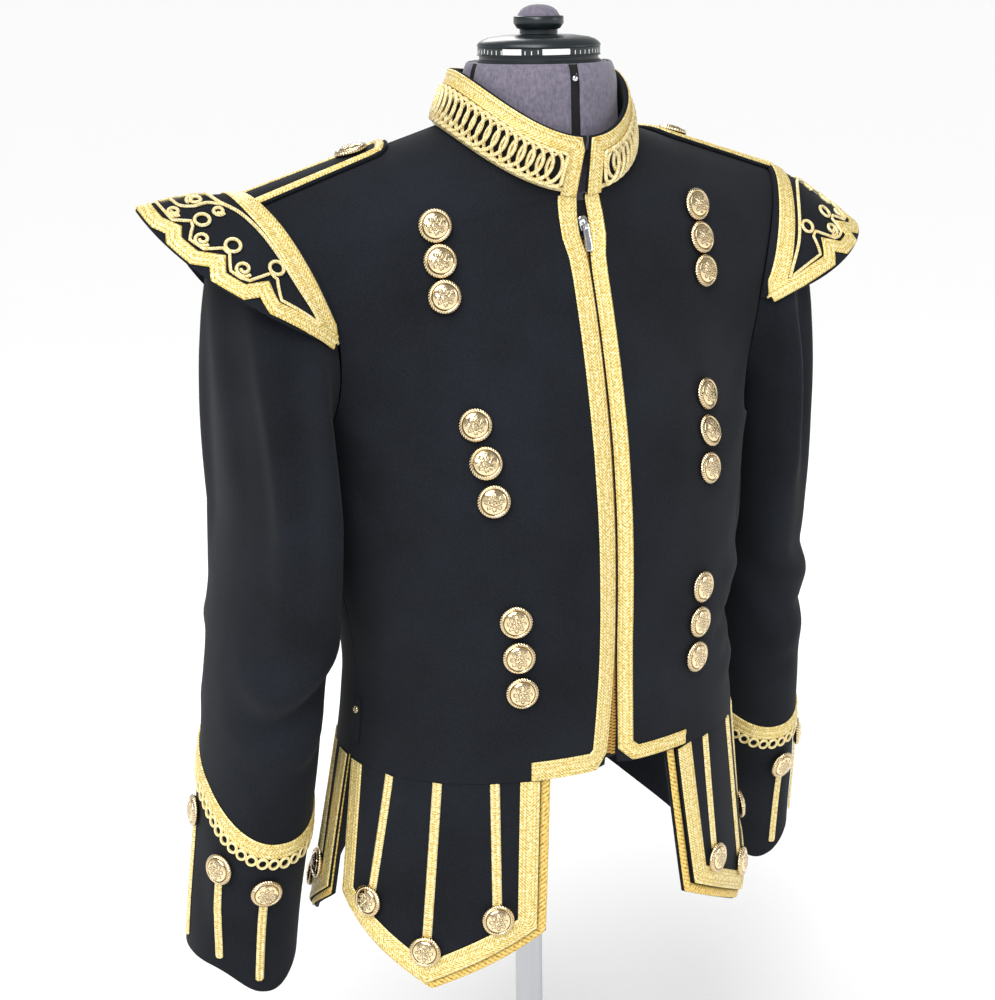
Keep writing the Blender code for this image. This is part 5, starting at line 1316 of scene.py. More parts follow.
# Sleeves and cuffs
@dataclass
class Sleeve:
    """One sleeve with its cuff: sections, seam lines and the lace round the wrist."""

    side: Side
    levels: tuple[float, ...] = (-0.200, -0.120, -0.050, 0.030, 0.070, 0.105, 0.145, 0.190)
    centre_x: tuple[float, ...] = (0.2370, 0.2310, 0.2245, 0.2170, 0.2140, 0.2110, 0.2100, 0.2090)
    centre_y: tuple[float, ...] = (0.044, 0.036, 0.026, 0.018, 0.015, 0.012, 0.008, 0.004)
    half_x: tuple[float, ...] = (0.0410, 0.0405, 0.0400, 0.0395, 0.0385, 0.0370, 0.0330, 0.0290)
    half_y: tuple[float, ...] = (0.048, 0.052, 0.058, 0.064, 0.069, 0.075, 0.080, 0.084)
    wrap: tuple[float, ...] = (0.000, 0.000, 0.000, 0.000, 0.001, 0.011, 0.014, 0.014)
    bicep: float = 0.190
    blend_from: float = 0.078
    cuff_front: float = -0.0645
    cuff_back: float = 0.0075
    low_angle: float = 85
    end: float = -0.160
    end_dip: float = 0.025
    band: float = 0.0125
    loop_drop: float = 0.010
    loop: tuple[float, float] = (0.0036, 0.00115)
    bars: tuple[tuple[float, float], ...] = ((100, 94), (152, 138), (197, 189))
    bar_width: float = 0.0062
    button_drop: float = 0.0285
    bar_end: float = 0.012
    columns: int = 96
    head_rows: int = 26
    arm_rows: int = 28
    fore_rows: int = 36
    cuff_rows: int = 28

    def point(self, angle: float, height: float) -> Array:
        """Outer surface below the bicep: 0 next to the body, 90 in front, 180 outside."""
        turn = math.radians(angle)
        across = math.copysign(abs(math.cos(turn)) ** (2 / 2.2), math.cos(turn))
        along = math.copysign(abs(math.sin(turn)) ** (2 / 2.2), math.sin(turn))
        read = [float(follow(self.levels, c, height)) for c in (self.centre_x, self.half_x, self.centre_y, self.half_y,
                                                                 self.wrap)]
        return np.array([read[0] - read[1] * across - read[4] * max(0.0, along) ** 2,
                         read[2] - read[3] * along, height])

    def head(self, angle: float, share: float) -> Array:
        """Outer surface of the sleeve head, from the armhole (0) round its crown to the bicep (1)."""
        turn = math.radians(angle)
        start, end = ARMHOLE.point(angle), self.point(angle, self.bicep)
        crown = (1 - math.cos(turn)) / 2
        leave = np.array([0.030 + 0.085 * crown, -0.030 * math.sin(turn), -0.010 - 0.030 * crown])
        arrive = np.array([0.0, 0.0, -0.060 - 0.26 * crown])
        u = share
        return ((1 + 2 * u) * (1 - u) ** 2 * start + u * (1 - u) ** 2 * leave + u * u * (3 - 2 * u) * end
                + u * u * (u - 1) * arrive)

    def line(self, angle: float, drop: float = 0.0) -> float:
        """Height of the slanted cuff seam, lowest in front."""
        sway = (1 - math.cos(math.radians(angle - self.low_angle))) / 2
        return self.cuff_front + (self.cuff_back - self.cuff_front) * sway - drop

    def foot(self, angle: float) -> float:
        """Height of the open end, a little lower in front."""
        return self.end - self.end_dip * max(0.0, math.cos(math.radians(angle - 80))) ** 4

    def skin(self) -> Skin:
        """The whole arm from the armhole seam to the open end."""
        angles = np.arange(self.columns) * 360 / self.columns
        rows = [[self.head(a, s) for a in angles] for s in np.linspace(0.012, 1, self.head_rows)[:-1]]
        rows += [[self.point(a, h) for a in angles] for h in np.linspace(self.bicep, self.blend_from, self.arm_rows)]
        for share in np.arange(1, self.fore_rows + 1) / self.fore_rows:
            rows.append([self.point(a, self.blend_from * (1 - share) + self.line(a) * share) for a in angles])
        self.seam_row = len(rows) - 1
        for share in np.arange(1, self.cuff_rows + 1) / self.cuff_rows:
            rows.append([self.point(a, self.line(a) * (1 - share) + self.foot(a) * share) for a in angles])
        grid = np.array(rows)
        rough = grid - np.array([0.212, 0.015, 0.0])
        rough[..., 2] = np.maximum(0.0, grid[..., 2] - 0.33) * 2
        folds = [Fold(tuple(tuple(self.fold_point(a, h)) for a, h in line), width, depth)
                 for line, width, depth in SLEEVE_FOLDS[self.side]]
        return Skin(grid, rough, True, folds)

    def fold_point(self, angle: float, height: float) -> Array:
        """A place on the arm; above the bicep it runs up the head's surface."""
        if height <= self.bicep:
            return self.point(angle, height)
        top = ARMHOLE.point(angle)[2]
        return self.head(angle, float(np.clip((top + 0.012 - height) / (top + 0.012 - self.bicep), 0.02, 1)))

    def on_cuff(self, angle: float, drop: float) -> Array:
        """A place under the cuff seam, or above it for a drop below zero."""
        return self.point(angle, self.line(angle) - drop)

    def build(self) -> None:
        """Wool, then the lace band, its loops, bars and buttons."""
        skin = self.skin()
        name = self.side.name
        inner = skin.points - skin.normals * WALL
        k = self.seam_row
        for label, rows, flat, area in (("sleeve", slice(0, k + 1), (0.36, 0.50), 0.118),
                                        ("cuff", slice(k, None), (0.30, 0.19), 0.040)):
            outer, inside = skin.points[rows].copy(), inner[rows].copy()
            if label == "cuff":
                outer[0] += (outer[1] - outer[0]) * 0.25
                inside[0] += (inside[1] - inside[0]) * 0.25
            bundle = Bundle("%s_wool_%s" % (label, name), self.side)
            bundle.wall(Finishes.WOOL, outer, inside, closed=True)
            piece = bundle.made("cloth", ["%s_%s" % (label, name)])
        low = Skin(skin.points[k - 16:], skin.rough[k - 16:], True)
        lace = Bundle("cuff_lace_" + name, self.side)
        ring = np.array([self.on_cuff(a, -self.band / 2) for a in np.linspace(-8, 352.5, 120)])
        low.strip(lace, Finishes.LACE, ring, self.band / 2, SEAM,
                  lace_profile((-0.72, 0.0, 0.72), 0.0007, 0.0009, 0.2), 13)
        for top, end in self.bars:
            depth = (self.line(top, self.loop_drop) - self.foot(top)) / 2
            last = self.line(end) - self.foot(end) - self.bar_end
            drops = np.linspace(self.button_drop, last, 14)
            share = drops / last
            path = np.array([self.on_cuff(top + (end - top) * s, d) for s, d in zip(share, drops)])
            taper = np.ones(14)
            path = np.concatenate([path, path[-1:] + (path[-1:] - path[-2:-1]) * np.array([[0.16], [0.24]])])
            low.strip(lace, Finishes.BAR, path, self.bar_width / 2, SEAM * 2, BAR_LACE, 9,
                      taper=np.concatenate([taper, [0.8, 0.45]]))
            row = 1 + (self.button_drop - self.loop_drop) / depth
            angle = top + (end - top) * (row - 0.45) / 2.2
            BUTTON.put(lace, low.seat(self.on_cuff(angle, self.button_drop), 0.0013))
        lace.made("braid", ["cuff_braid_" + name])
        angles = np.linspace(0, 360, 400)
        edge = np.array([self.on_cuff(a, self.loop[0] + self.loop[1] * 0.4) for a in angles])
        run = run_of(edge)
        count = int(run[-1] / 0.0082)
        at = (np.arange(count) + 0.5) * run[-1] / count
        places = np.stack([np.interp(at, run, edge[:, k]) for k in range(3)], 1)
        places, facing = low.settle(places)
        ahead = unit(np.roll(places, -1, axis=0) - np.roll(places, 1, axis=0))
        places = places + facing * (self.loop[1] + 0.0003)
        flip = self.side.flip
        ring = ring_mesh("cuff_ring", (self.loop[0], self.loop[0] * 1.12), self.loop[1])
        rings = Repeater().run("cuff_loops_" + name, places * flip + UP, facing * flip, ahead * flip, ring,
                               Finishes.CORD, 1.0, 0.04)
        placed(rings)


BAR_LACE = lace_profile((-0.56, 0.56), 0.0004, 0.0013, 0.34)
# Creases of each sleeve: places as sleeve angle and height, then the half width and the depth
SLEEVE_FOLDS: dict[Side, tuple[tuple[tuple[tuple[float, float], ...], float, float], ...]] = {
    Side.R: (
        (((150, 0.370), (140, 0.300), (132, 0.200), (128, 0.120)), 0.010, 0.0040),
        (((128, 0.360), (118, 0.290), (112, 0.200), (108, 0.130)), 0.010, -0.0042),
        (((108, 0.340), (98, 0.280), (92, 0.200)), 0.010, 0.0034),
        (((175, 0.360), (165, 0.280), (160, 0.180)), 0.014, -0.0030),
        (((55, 0.110), (85, 0.082), (115, 0.070), (150, 0.082)), 0.011, 0.0055),
        (((60, 0.075), (90, 0.050), (120, 0.042), (148, 0.050)), 0.010, -0.0050),
        (((50, 0.040), (80, 0.020), (108, 0.015)), 0.010, 0.0036),
        (((215, 0.330), (225, 0.250), (230, 0.150)), 0.014, 0.0036),
        (((250, 0.300), (258, 0.220), (262, 0.130)), 0.013, -0.0036),
        (((225, 0.070), (255, 0.050), (290, 0.062)), 0.012, -0.0046),
        (((220, 0.110), (255, 0.092), (295, 0.105)), 0.012, 0.0046),
        (((150, -0.060), (146, -0.100), (144, -0.140)), 0.012, 0.0026),
        (((262, -0.020), (268, 0.060), (272, 0.150), (275, 0.230)), 0.003, -0.0012)),
    Side.L: (
        (((150, 0.360), (142, 0.280), (136, 0.180), (132, 0.090)), 0.011, 0.0044),
        (((126, 0.350), (120, 0.270), (114, 0.180)), 0.010, -0.0040),
        (((104, 0.330), (98, 0.260), (94, 0.180)), 0.010, 0.0034),
        (((172, 0.350), (168, 0.260), (165, 0.160)), 0.013, -0.0034),
        (((60, 0.120), (92, 0.098), (125, 0.092), (155, 0.110)), 0.011, 0.0050),
        (((58, 0.085), (92, 0.062), (122, 0.056), (150, 0.070)), 0.010, -0.0050),
        (((56, 0.050), (88, 0.028), (116, 0.024)), 0.010, 0.0038),
        (((210, 0.330), (222, 0.240), (226, 0.140)), 0.014, 0.0034),
        (((246, 0.300), (256, 0.210), (260, 0.120)), 0.013, -0.0036),
        (((230, 0.080), (258, 0.062), (292, 0.074)), 0.012, -0.0044),
        (((224, 0.120), (256, 0.104), (294, 0.116)), 0.012, 0.0044),
        (((160, -0.050), (154, -0.095), (150, -0.140)), 0.012, 0.0026),
        (((262, -0.020), (268, 0.060), (272, 0.150), (275, 0.230)), 0.003, -0.0012)),
}


# Wings and shoulder straps
@dataclass
class Wing:
    """A stiff wing over a sleeve head: zigzag lace, an inner band, and curls of cord between them."""

    side: Side
    reach: float
    fall: float
    sag: float
    front_angle: float = 86
    bulge: float = 0.003
    lean: float = 0.042
    back_trim: float = 0.22
    columns: int = 80
    rows: int = 18

    def edge(self, u: float) -> Array:
        """Outer edge, u from -1 at the front tip to 1 at the back tip."""
        inner = ARMHOLE.point(180 + u * (180 - self.front_angle))
        width = math.cos(u * math.pi / 2) ** 0.75
        wave = math.sin(math.pi * u)
        reach = self.reach * (1 - self.back_trim * max(0.0, wave))
        out = np.array([reach, self.lean * math.sin(u * math.pi / 2) ** 3, -self.fall * (1 - 0.4 * abs(u))])
        return inner + out * width - np.array([0.0, 0.0, self.sag * max(0.0, -wave) ** 1.2])

    def skin(self) -> Skin:
        """Upper surface: rows across it, columns from the front tip to the back tip."""
        grid = []
        for u in np.linspace(-0.985, 0.985, self.columns):
            angle = 180 + u * (180 - self.front_angle)
            turn = math.radians(angle)
            inner, edge = ARMHOLE.point(angle), self.edge(u)
            radial = np.array([0.25, -math.sin(turn), -math.cos(turn)])
            radial /= np.linalg.norm(radial)
            column = []
            for s in np.linspace(0, 1, self.rows):
                crown = SEAM * 3 + self.bulge * math.cos(u * math.pi / 2) * 4 * s * (1 - s) * (1 - 0.3 * s)
                column.append(inner * (1 - s) + edge * s + radial * crown)
            grid.append(column)
        grid = np.array(grid).transpose(1, 0, 2)
        rough = np.zeros_like(grid)
        rough[..., 0], rough[..., 1], rough[..., 2] = 0.3, (grid[..., 1] - 0.004) * 8, 1.0
        under = Skin(grid, rough)
        return Skin(grid + under.normals * WALL, rough)

    def place(self, skin: Skin, u: Array, share: Array) -> Array:
        """Points of the wing."""
        return skin.at(np.asarray(share) * (self.rows - 1), (np.asarray(u) / 0.985 + 1) / 2 * (self.columns - 1))

    def path(self, skin: Skin, table: Sequence[tuple[float, float]], soft: bool = False) -> Array:
        """A line through places given as u and share, straight or soft between them."""
        table = np.array(table, float)
        if soft:
            table = smooth(table, 0.02)
        else:
            table = stepped(table, 0.03)
        return self.place(skin, table[:, 0], table[:, 1])

    def build(self) -> None:
        """Wool, lace bands, cords and curls."""
        skin = self.skin()
        name = self.side.name
        bundle = Bundle("wing_wool_" + name, self.side)
        bundle.wall(Finishes.WOOL, skin.points, skin.points - skin.normals * WALL)
        piece = bundle.made("cloth", ["wing_" + name])
        lace = Bundle("wing_lace_" + name, self.side)
        for table in mirrored(WING_BAND):
            path = self.path(skin, table, True)
            run = run_of(path)
            skin.strip(lace, Finishes.LACE, path, 0.0068, SEAM, EDGE_LACE, 11, 0.0025,
                       taper=np.clip((run[-1] - run) / 0.012, 0.10, 1))
        for table in mirrored(WING_ZIGZAG):
            skin.strip(lace, Finishes.LACE, self.path(skin, table), 0.0052, SEAM * 2,
                       lace_profile((-0.7, 0.0, 0.7), 0.0007, 0.0007, 0.16), 9, 0.0025)
        for table in mirrored(WING_CORD):
            skin.cord(lace, Finishes.CORD, self.path(skin, table, True), 0.0013, 0.0002, 6, 0.0025)
        for table in mirrored(WING_FLOURISH):
            skin.cord(lace, Finishes.CORD, self.path(skin, table, True), 0.00115, 0.0002, 6, 0.0025)
        for table in mirrored(WING_INNER):
            skin.cord(lace, Finishes.CORD, self.path(skin, table), 0.00115, 0.0002, 6, 0.0025)
        for u, share, size, turn, coil in WING_CURLS:
            for way in (-1, 1):
                self.curl(skin, lace, way * u, share, size, way * turn, way, coil)
        lace.made("braid", ["wing_braid_" + name])

    def curl(self, skin: Skin, bundle: Bundle, u: float, share: float, size: float, turn: float, way: int,
             coil: float) -> None:
        """A ring of cord, or a scroll where it winds in on itself."""
        centre = self.place(skin, u, share)
        _, normal = skin.settle(centre[None])
        first = unit(np.cross(normal[0], np.array([0.2, 0.0, 1.0])))
        second = np.cross(normal[0], first)
        at = np.linspace(0, 1, 42)
        angle = turn + way * at * (2.0 + coil) * math.pi
        reach = size * (1 - coil * at)
        path = centre + (np.cos(angle) * reach)[:, None] * first + (np.sin(angle) * reach)[:, None] * second
        skin.cord(bundle, Finishes.CORD, path, 0.00125, 0.0001, 6, 0.0015)


# Trimming of a wing's front half: places as u and share of its width
WING_BAND = ((0.0, 0.10), (-0.22, 0.10), (-0.42, 0.115), (-0.56, 0.15), (-0.69, 0.20), (-0.82, 0.28), (-0.92, 0.38),
             (-0.980, 0.56))
WING_ZIGZAG = ((-0.965, 0.62), (-0.84, 0.76), (-0.69, 0.86), (-0.605, 0.71), (-0.575, 0.90), (-0.475, 0.925),
               (-0.42, 0.79), (-0.365, 0.92), (-0.262, 0.925), (-0.215, 0.855), (-0.145, 0.925), (0.0, 0.93))
WING_CORD = ((0.0, 0.36), (-0.12, 0.335), (-0.25, 0.255), (-0.385, 0.24), (-0.53, 0.28), (-0.655, 0.35), (-0.79, 0.44),
             (-0.85, 0.53))
WING_INNER = ((-0.84, 0.56), (-0.68, 0.695), (-0.60, 0.50), (-0.565, 0.50), (-0.548, 0.745), (-0.52, 0.785),
              (-0.48, 0.79), (-0.418, 0.65), (-0.383, 0.65), (-0.352, 0.79), (-0.29, 0.815), (-0.235, 0.70),
              (-0.205, 0.675), (-0.165, 0.80), (0.0, 0.81))
WING_FLOURISH = ((-0.16, 0.32), (-0.115, 0.42), (-0.115, 0.56), (-0.075, 0.66), (0.0, 0.68))
WING_CURLS = ((-0.558, 0.395, 0.0048, 2.2, 0.0), (-0.497, 0.675, 0.0060, 1.2, 0.7), (-0.39, 0.555, 0.0050, 2.4, 0.0),
              (-0.31, 0.725, 0.0058, 1.2, 0.7), (-0.217, 0.585, 0.0050, 2.2, 0.0), (-0.115, 0.735, 0.0050, 1.2, 0.7),
              (-0.06, 0.50, 0.0058, 3.0, 0.6), (-0.195, 0.40, 0.0042, 1.0, 0.5))


def mirrored(table: Sequence[tuple[float, float]]) -> list[list[tuple[float, float]]]:
    """A line on the front half of a wing, and the same on its back half."""
    return [list(table), [(-u, s) for u, s in table]]


@dataclass
class Strap:
    """A shoulder strap between the collar and the wing, corded all round, with a button."""

    side: Side
    trunk: Trunk
    columns: int = 44
    first: float = 0.040
    lift: float = 0.0009

    def skin(self) -> Skin:
        """Upper surface, from the front edge over the seam to the back edge."""
        front, back = self.trunk.skin(True, self.side), self.trunk.skin(False, self.side)
        step = self.trunk.rows_between
        top_f, top_b = front.points.shape[0] - 1, back.points.shape[0] - 1
        last = front.points.shape[1] - 1.2
        rows = []
        span = 4 * step
        for k in range(span + 1):
            v = 2 * k / span - 1
            start = self.trunk.column(self.first) + 4.2 * (1 - math.sqrt(max(0.0, 1 - v * v)))
            columns = np.linspace(start, last, self.columns)
            if k <= 2 * step:
                rows.append(front.at(top_f - 2 * step + k, columns, self.lift))
            else:
                rows.append(back.at(top_b - (k - 2 * step), columns, self.lift))
        grid = np.array(rows)
        seam = 2 * step
        for k in (-1, 0, 1):
            grid[seam + k] = (grid[seam + k - 1] + grid[seam + k] + grid[seam + k + 1]) / 3
        rough = np.zeros_like(grid)
        rough[..., 2] = 1
        under = Skin(grid, rough)
        return Skin(grid + under.normals * WALL, rough)

    def build(self) -> None:
        """Wool, edge lace and the button."""
        skin = self.skin()
        name = self.side.name
        bundle = Bundle("strap_wool_" + name, self.side)
        bundle.wall(Finishes.WOOL, skin.points, skin.points - skin.normals * WALL)
        piece = bundle.made("cloth", ["strap_" + name])
        rows, cols = skin.points.shape[:2]
        inset = 2.3
        edge = [(inset, c) for c in np.linspace(cols - 1, 3.0, 24)]
        edge += [(r, 1.3) for r in np.linspace(inset + 1, rows - 2 - inset, 14)]
        edge += [(rows - 1 - inset, c) for c in np.linspace(3.0, cols - 1, 24)]
        table = np.array(edge)
        bundle = Bundle("strap_lace_" + name, self.side)
        skin.strip(bundle, Finishes.LACE, skin.at(table[:, 0], table[:, 1]), 0.0030, SEAM,
                   lace_profile((-0.5, 0.5), 0.0007, 0.0009, 0.34), 9, 0.002)
        bundle.made("braid")
        bundle = Bundle("strap_gilt_" + name, self.side)
        BUTTON.put(bundle, skin.seat(skin.at((rows - 1) / 2, 7.0), SEAM))
        bundle.made("gilt", ["button_strap_" + name])


# Skirt flaps
@dataclass(frozen=True)
class FlapCut:
    """Outline of a flap: distances along the hem and drops below it."""

    place: str
    near: float
    far: float
    near_low: float
    far_low: float
    tip: float
    near_drop: float
    far_drop: float
    tip_drop: float
    flare: tuple[float, float]
    under_gap: float
    flat: tuple[float, float]
    area: float

    def drop(self, share: float) -> float:
        """How far the pointed lower edge hangs at a share of the width."""
        if share <= self.tip:
            return self.near_drop + (self.tip_drop - self.near_drop) * share / self.tip
        return self.far_drop + (self.tip_drop - self.far_drop) * (1 - share) / (1 - self.tip)


FRONT_FLAP = FlapCut("front", 0.060, 0.218, 0.066, 0.216, 0.52, 0.117, 0.105, 0.158, (0.02, 0.12), 0.0020,
                     (0.17, 0.165), 0.0215)
BACK_FLAP = FlapCut("back", 0.110, 0.220, 0.118, 0.222, 0.56, 0.086, 0.105, 0.145, (0.06, 0.20), 0.0011,
                    (0.13, 0.15), 0.0135)
# Bars on a flap: share of its width at the waist and at the button; the middle one ends over the tip
FLAP_BARS: tuple[tuple[float, float | None], ...] = ((0.21, 0.19), (0.475, None), (0.72, 0.80))


@dataclass
class Flap:
    """A pointed skirt flap with its lace, bars and buttons, over a slightly larger one."""

    cut: FlapCut
    side: Side
    swing: float
    trunk: Trunk
    columns: int = 44
    rows: int = 38
    grow: tuple[float, float] = (0.009, 0.001)
    under_drop: float = 0.006
    under_low: float = 0.0007
    button_rise: float = 0.0265
    wave: float = 0.0016

    def __post_init__(self) -> None:
        """Measure the hem that it hangs from."""
        self.hem = self.trunk.low_row(0.0, self.cut.place == "front", gap=False)
        self.run = run_of(self.hem)

    def hem_point(self, along: float) -> tuple[Array, Array]:
        """A point of the hem and its outward direction."""
        step = 0.004
        inside = float(np.clip(along, step, self.run[-1] - step))
        low, high = (np.array([np.interp(inside + s, self.run, self.hem[:, k]) for k in range(3)])
                     for s in (-step, step))
        tangent = unit(high - low)
        out = np.array([tangent[1], -tangent[0], 0]) * (1 if self.cut.place == "front" else -1)
        return (low + high) / 2 + tangent * (along - inside), out

    def point(self, share: float, drop: float, lift: float = 0.0, grow: tuple[float, float] = (0.0, 0.0)) -> Array:
        """A point of the flap by its share of the width and its drop."""
        cut = self.cut
        sink = drop / cut.tip_drop
        near = cut.near + (cut.near_low + self.swing - cut.near) * sink - grow[0]
        far = cut.far + (cut.far_low - cut.far) * sink + grow[1]
        along = near + (far - near) * share
        point, out = self.hem_point(along)
        low, high = cut.flare
        flare = (low + (high - low) * np.clip((along - 0.06) / 0.15, 0, 1)) * drop
        turn = 9.0 * share + (1.1 if self.side is Side.L else 0.2) + (2.0 if cut.place == "back" else 0.0)
        ripple = self.wave * min(1.0, sink) ** 1.5 * math.sin(turn)
        return point + out * (lift + flare + ripple) + np.array([0, 0, -SEAM * 1.5 - drop])

    def skin(self, under: bool = False) -> Skin:
        """Outer surface of the flap, or of the one under it."""
        rows = []
        for part in np.linspace(0, 1, self.rows):
            row = []
            for share in np.linspace(0, 1, self.columns):
                drop = (self.cut.drop(share) + (self.under_drop if under else 0)) * part + (SEAM if under else 0)
                lift = -WALL - self.cut.under_gap - self.under_low * part if under else 0.0
                row.append(self.point(share, drop, lift, self.grow if under else (0.0, 0.0)))
            rows.append(row)
        grid = np.array(rows)
        rough = grid - np.array([0, 0.03 if self.cut.place == "front" else -0.04, 0])
        rough[..., 2] = 0
        return Skin(grid, rough)

    def outline(self, inset: float, under: bool = False, top: float = 0.001) -> Array:
        """A line inside the flap's side and lower edges, from the near top round the tip to the far top."""
        cut, grow = self.cut, (self.grow if under else (0.0, 0.0))
        extra = self.under_drop if under else 0.0
        wide = cut.far - cut.near + sum(grow)
        lean_near = (cut.tip_drop - cut.near_drop) / (wide * cut.tip)
        lean_far = (cut.tip_drop - cut.far_drop) / (wide * (1 - cut.tip))
        near, far = inset / wide, 1 - inset / wide
        low_near = cut.drop(near) + extra - inset * math.hypot(1, lean_near)
        low_far = cut.drop(far) + extra - inset * math.hypot(1, lean_far)
        low_tip = cut.tip_drop + extra - inset * (math.hypot(1, lean_near) + math.hypot(1, lean_far)) / 2
        table = [(near, top), (near, low_near), (cut.tip, low_tip), (far, low_far), (far, top)]
        table = stepped(np.array(table) * [wide, 1], 0.004) / [wide, 1]
        return np.array([self.point(s, d, 0.0, grow) for s, d in table])

    def build(self) -> None:
        """Both layers of wool, then the lace."""
        label = "%s_%s" % (self.cut.place, self.side.name)
        skin, under = self.skin(), self.skin(True)
        for name, layer, node, grown in (("flap_wool_", skin, "flap_" + label, 0.0),
                                         ("flap_under_wool_", under, "flap_%s_under" % label, 0.0022)):
            bundle = Bundle(name + label, self.side)
            layer.shell(bundle, Finishes.WOOL)
            piece = bundle.made("cloth", [node])
        bundle = Bundle("flap_lace_" + label, self.side)
        skin.strip(bundle, Finishes.LACE, self.outline(BRAID_WIDTH / 2), BRAID_WIDTH / 2, SEAM, EDGE_LACE, 13)
        for top, low in FLAP_BARS:
            low = self.cut.tip if low is None else low
            seat = self.cut.drop(low) - self.button_rise
            path = np.array([self.point(top + (low - top) * s, 0.0008 + (seat + 0.002) * s)
                             for s in np.linspace(0, 1, 12)])
            skin.strip(bundle, Finishes.BAR, path, 0.0034, SEAM, BAR_LACE, 9)
            place = self.point(low, seat)
            BUTTON.put(bundle, skin.seat(place, 0.0012))
        bundle.made("braid", ["flap_braid_" + label])
        bundle = Bundle("flap_rope_" + label, self.side)
        line = self.outline(0.0036, True)
        under.cord(bundle, Finishes.ROPE, line, 0.0036, 0.0, 8, 0.0025, flat=0.42)
        bundle.made("braid")


# Zip
@dataclass
class Zip:
    """Metal zip behind the front edges: tape, teeth, slider with its crown, and the pull tab."""

    trunk: Trunk
    slider_h: float = 0.392
    half: float = 0.0105
    pitch: float = 0.0026
    slider: tuple[float, float, float] = (0.0070, 0.0105, 0.0040)
    crown: tuple[float, float, float, float] = (0.0020, 0.0046, 0.0032, 0.0008)
    pull: tuple[float, float, float] = (0.0056, 0.0210, 0.0012)
    eye: tuple[float, float] = (0.0032, 0.0042)
    seat: float = 0.0005

    def centre(self, height: float) -> float:
        """Depth of the front edges, the roll over the zip included."""
        trunk = self.trunk
        if height <= 0.235:
            return float(follow(trunk.levels, trunk.front_y, height)) + 0.0045
        return float(follow(trunk.centre_levels, trunk.centre_front, height)) + 0.0045

    def frame(self, height: float) -> Matrix:
        """Matrix at the tape's face: X across, Y up along it and Z out of the chest."""
        step = 0.008
        up = Vector((0, self.centre(height + step) - self.centre(height - step), 2 * step)).normalized()
        across = Vector((1, 0, 0))
        face = Vector((0, self.centre(height) + WALL + SEAM * 3, HEM + height))
        return Matrix.Translation(face) @ Matrix((across, up, across.cross(up))).transposed().to_4x4()

    def build(self) -> None:
        """All the zip's pieces."""
        heights = np.linspace(0.004, 0.408, 90)
        grid = np.array([[(x, self.centre(h) + WALL + SEAM * 3, h) for x in np.linspace(-self.half, self.half, 7)]
                         for h in heights])
        bundle = Bundle("zip_tape_woven")
        bundle.wall(Finishes.TAPE, grid, grid + np.array([0, 0.0009, 0]))
        piece = bundle.made("tape", ["zip_tape"])
        count = int(0.377 / self.pitch)
        at = 0.008 + np.arange(count * 2) * self.pitch / 2
        places = np.array([((-0.0008 if k % 2 else 0.0008), self.centre(h) + WALL - 0.0002, h)
                           for k, h in enumerate(at)])
        ahead = np.array([(1.0 if k % 2 else -1.0, 0.0, 0.0) for k in range(len(at))])
        facing = np.tile((0.0, -1.0, 0.0), (len(at), 1))
        teeth = Repeater().run("zip_teeth", places + UP, facing, ahead, tooth_mesh("zip_tooth"), Finishes.TEETH,
                               1.0, 0.02)
        placed(teeth)
        self.build_slider()

    def build_slider(self) -> None:
        """Slider and crown on the root, and the pull tab on its own body."""
        width, length, depth = self.slider
        frame = self.frame(self.slider_h)
        shape = bmesh.new()
        outline = [(-0.36, -0.5), (0.36, -0.5), (0.5, -0.1), (0.5, 0.36), (0.30, 0.5), (-0.30, 0.5), (-0.5, 0.36),
                   (-0.5, -0.1)]
        levels = ((0.0, 0.93), (0.12, 1.0), (0.40, 1.0), (0.44, 0.86), (0.56, 0.86), (0.60, 1.0), (0.90, 1.0),
                  (1.0, 0.90))
        rings = [[shape.verts.new((x * width * k, y * length * k, self.seat + z * depth)) for x, y in outline]
                 for z, k in levels]
        for low, high in zip(rings[:-1], rings[1:]):
            for i in range(8):
                shape.faces.new((low[i], low[(i + 1) % 8], high[(i + 1) % 8], high[i]))
        shape.faces.new(rings[0][::-1])
        shape.faces.new(rings[-1])
        wide, long, tall, wall = self.crown
        arch = [(-0.5, 0.0), (-0.5, 0.72), (-0.34, 1.0), (0.34, 1.0), (0.5, 0.72), (0.5, 0.0)]
        leg = 0.5 - wall / long
        inner = [(-leg, 0.0), (-leg, 0.60), (-0.24, 1 - wall / tall), (0.24, 1 - wall / tall), (leg, 0.60), (leg, 0.0)]
        base = self.seat + depth - 0.0006
        sides = [[[shape.verts.new((x, y * long, base + z * (tall + 0.0006))) for y, z in line]
                  for line in (arch, inner)] for x in (-wide / 2, wide / 2)]
        (a_out, a_in), (b_out, b_in) = sides
        for i in range(5):
            shape.faces.new((a_out[i], a_out[i + 1], a_in[i + 1], a_in[i]))
            shape.faces.new((b_out[i + 1], b_out[i], b_in[i], b_in[i + 1]))
            shape.faces.new((a_out[i + 1], a_out[i], b_out[i], b_out[i + 1]))
            shape.faces.new((a_in[i], a_in[i + 1], b_in[i + 1], b_in[i]))
        for i in (0, 5):
            shape.faces.new((a_out[i], a_in[i], b_in[i], b_out[i]))
        bmesh.ops.recalc_face_normals(shape, faces=shape.faces)
        piece = self.solid("zip_slider_nickel", shape, frame)
        placed(piece, ["zip_slider"])
        hinge = self.seat + depth + (tall - wall) / 2
        placed(self.solid("zip_pull_nickel", self.tab(), frame @ Matrix.Translation((0, 0, hinge))),
               ["zip_pull"], PULL_BODY)

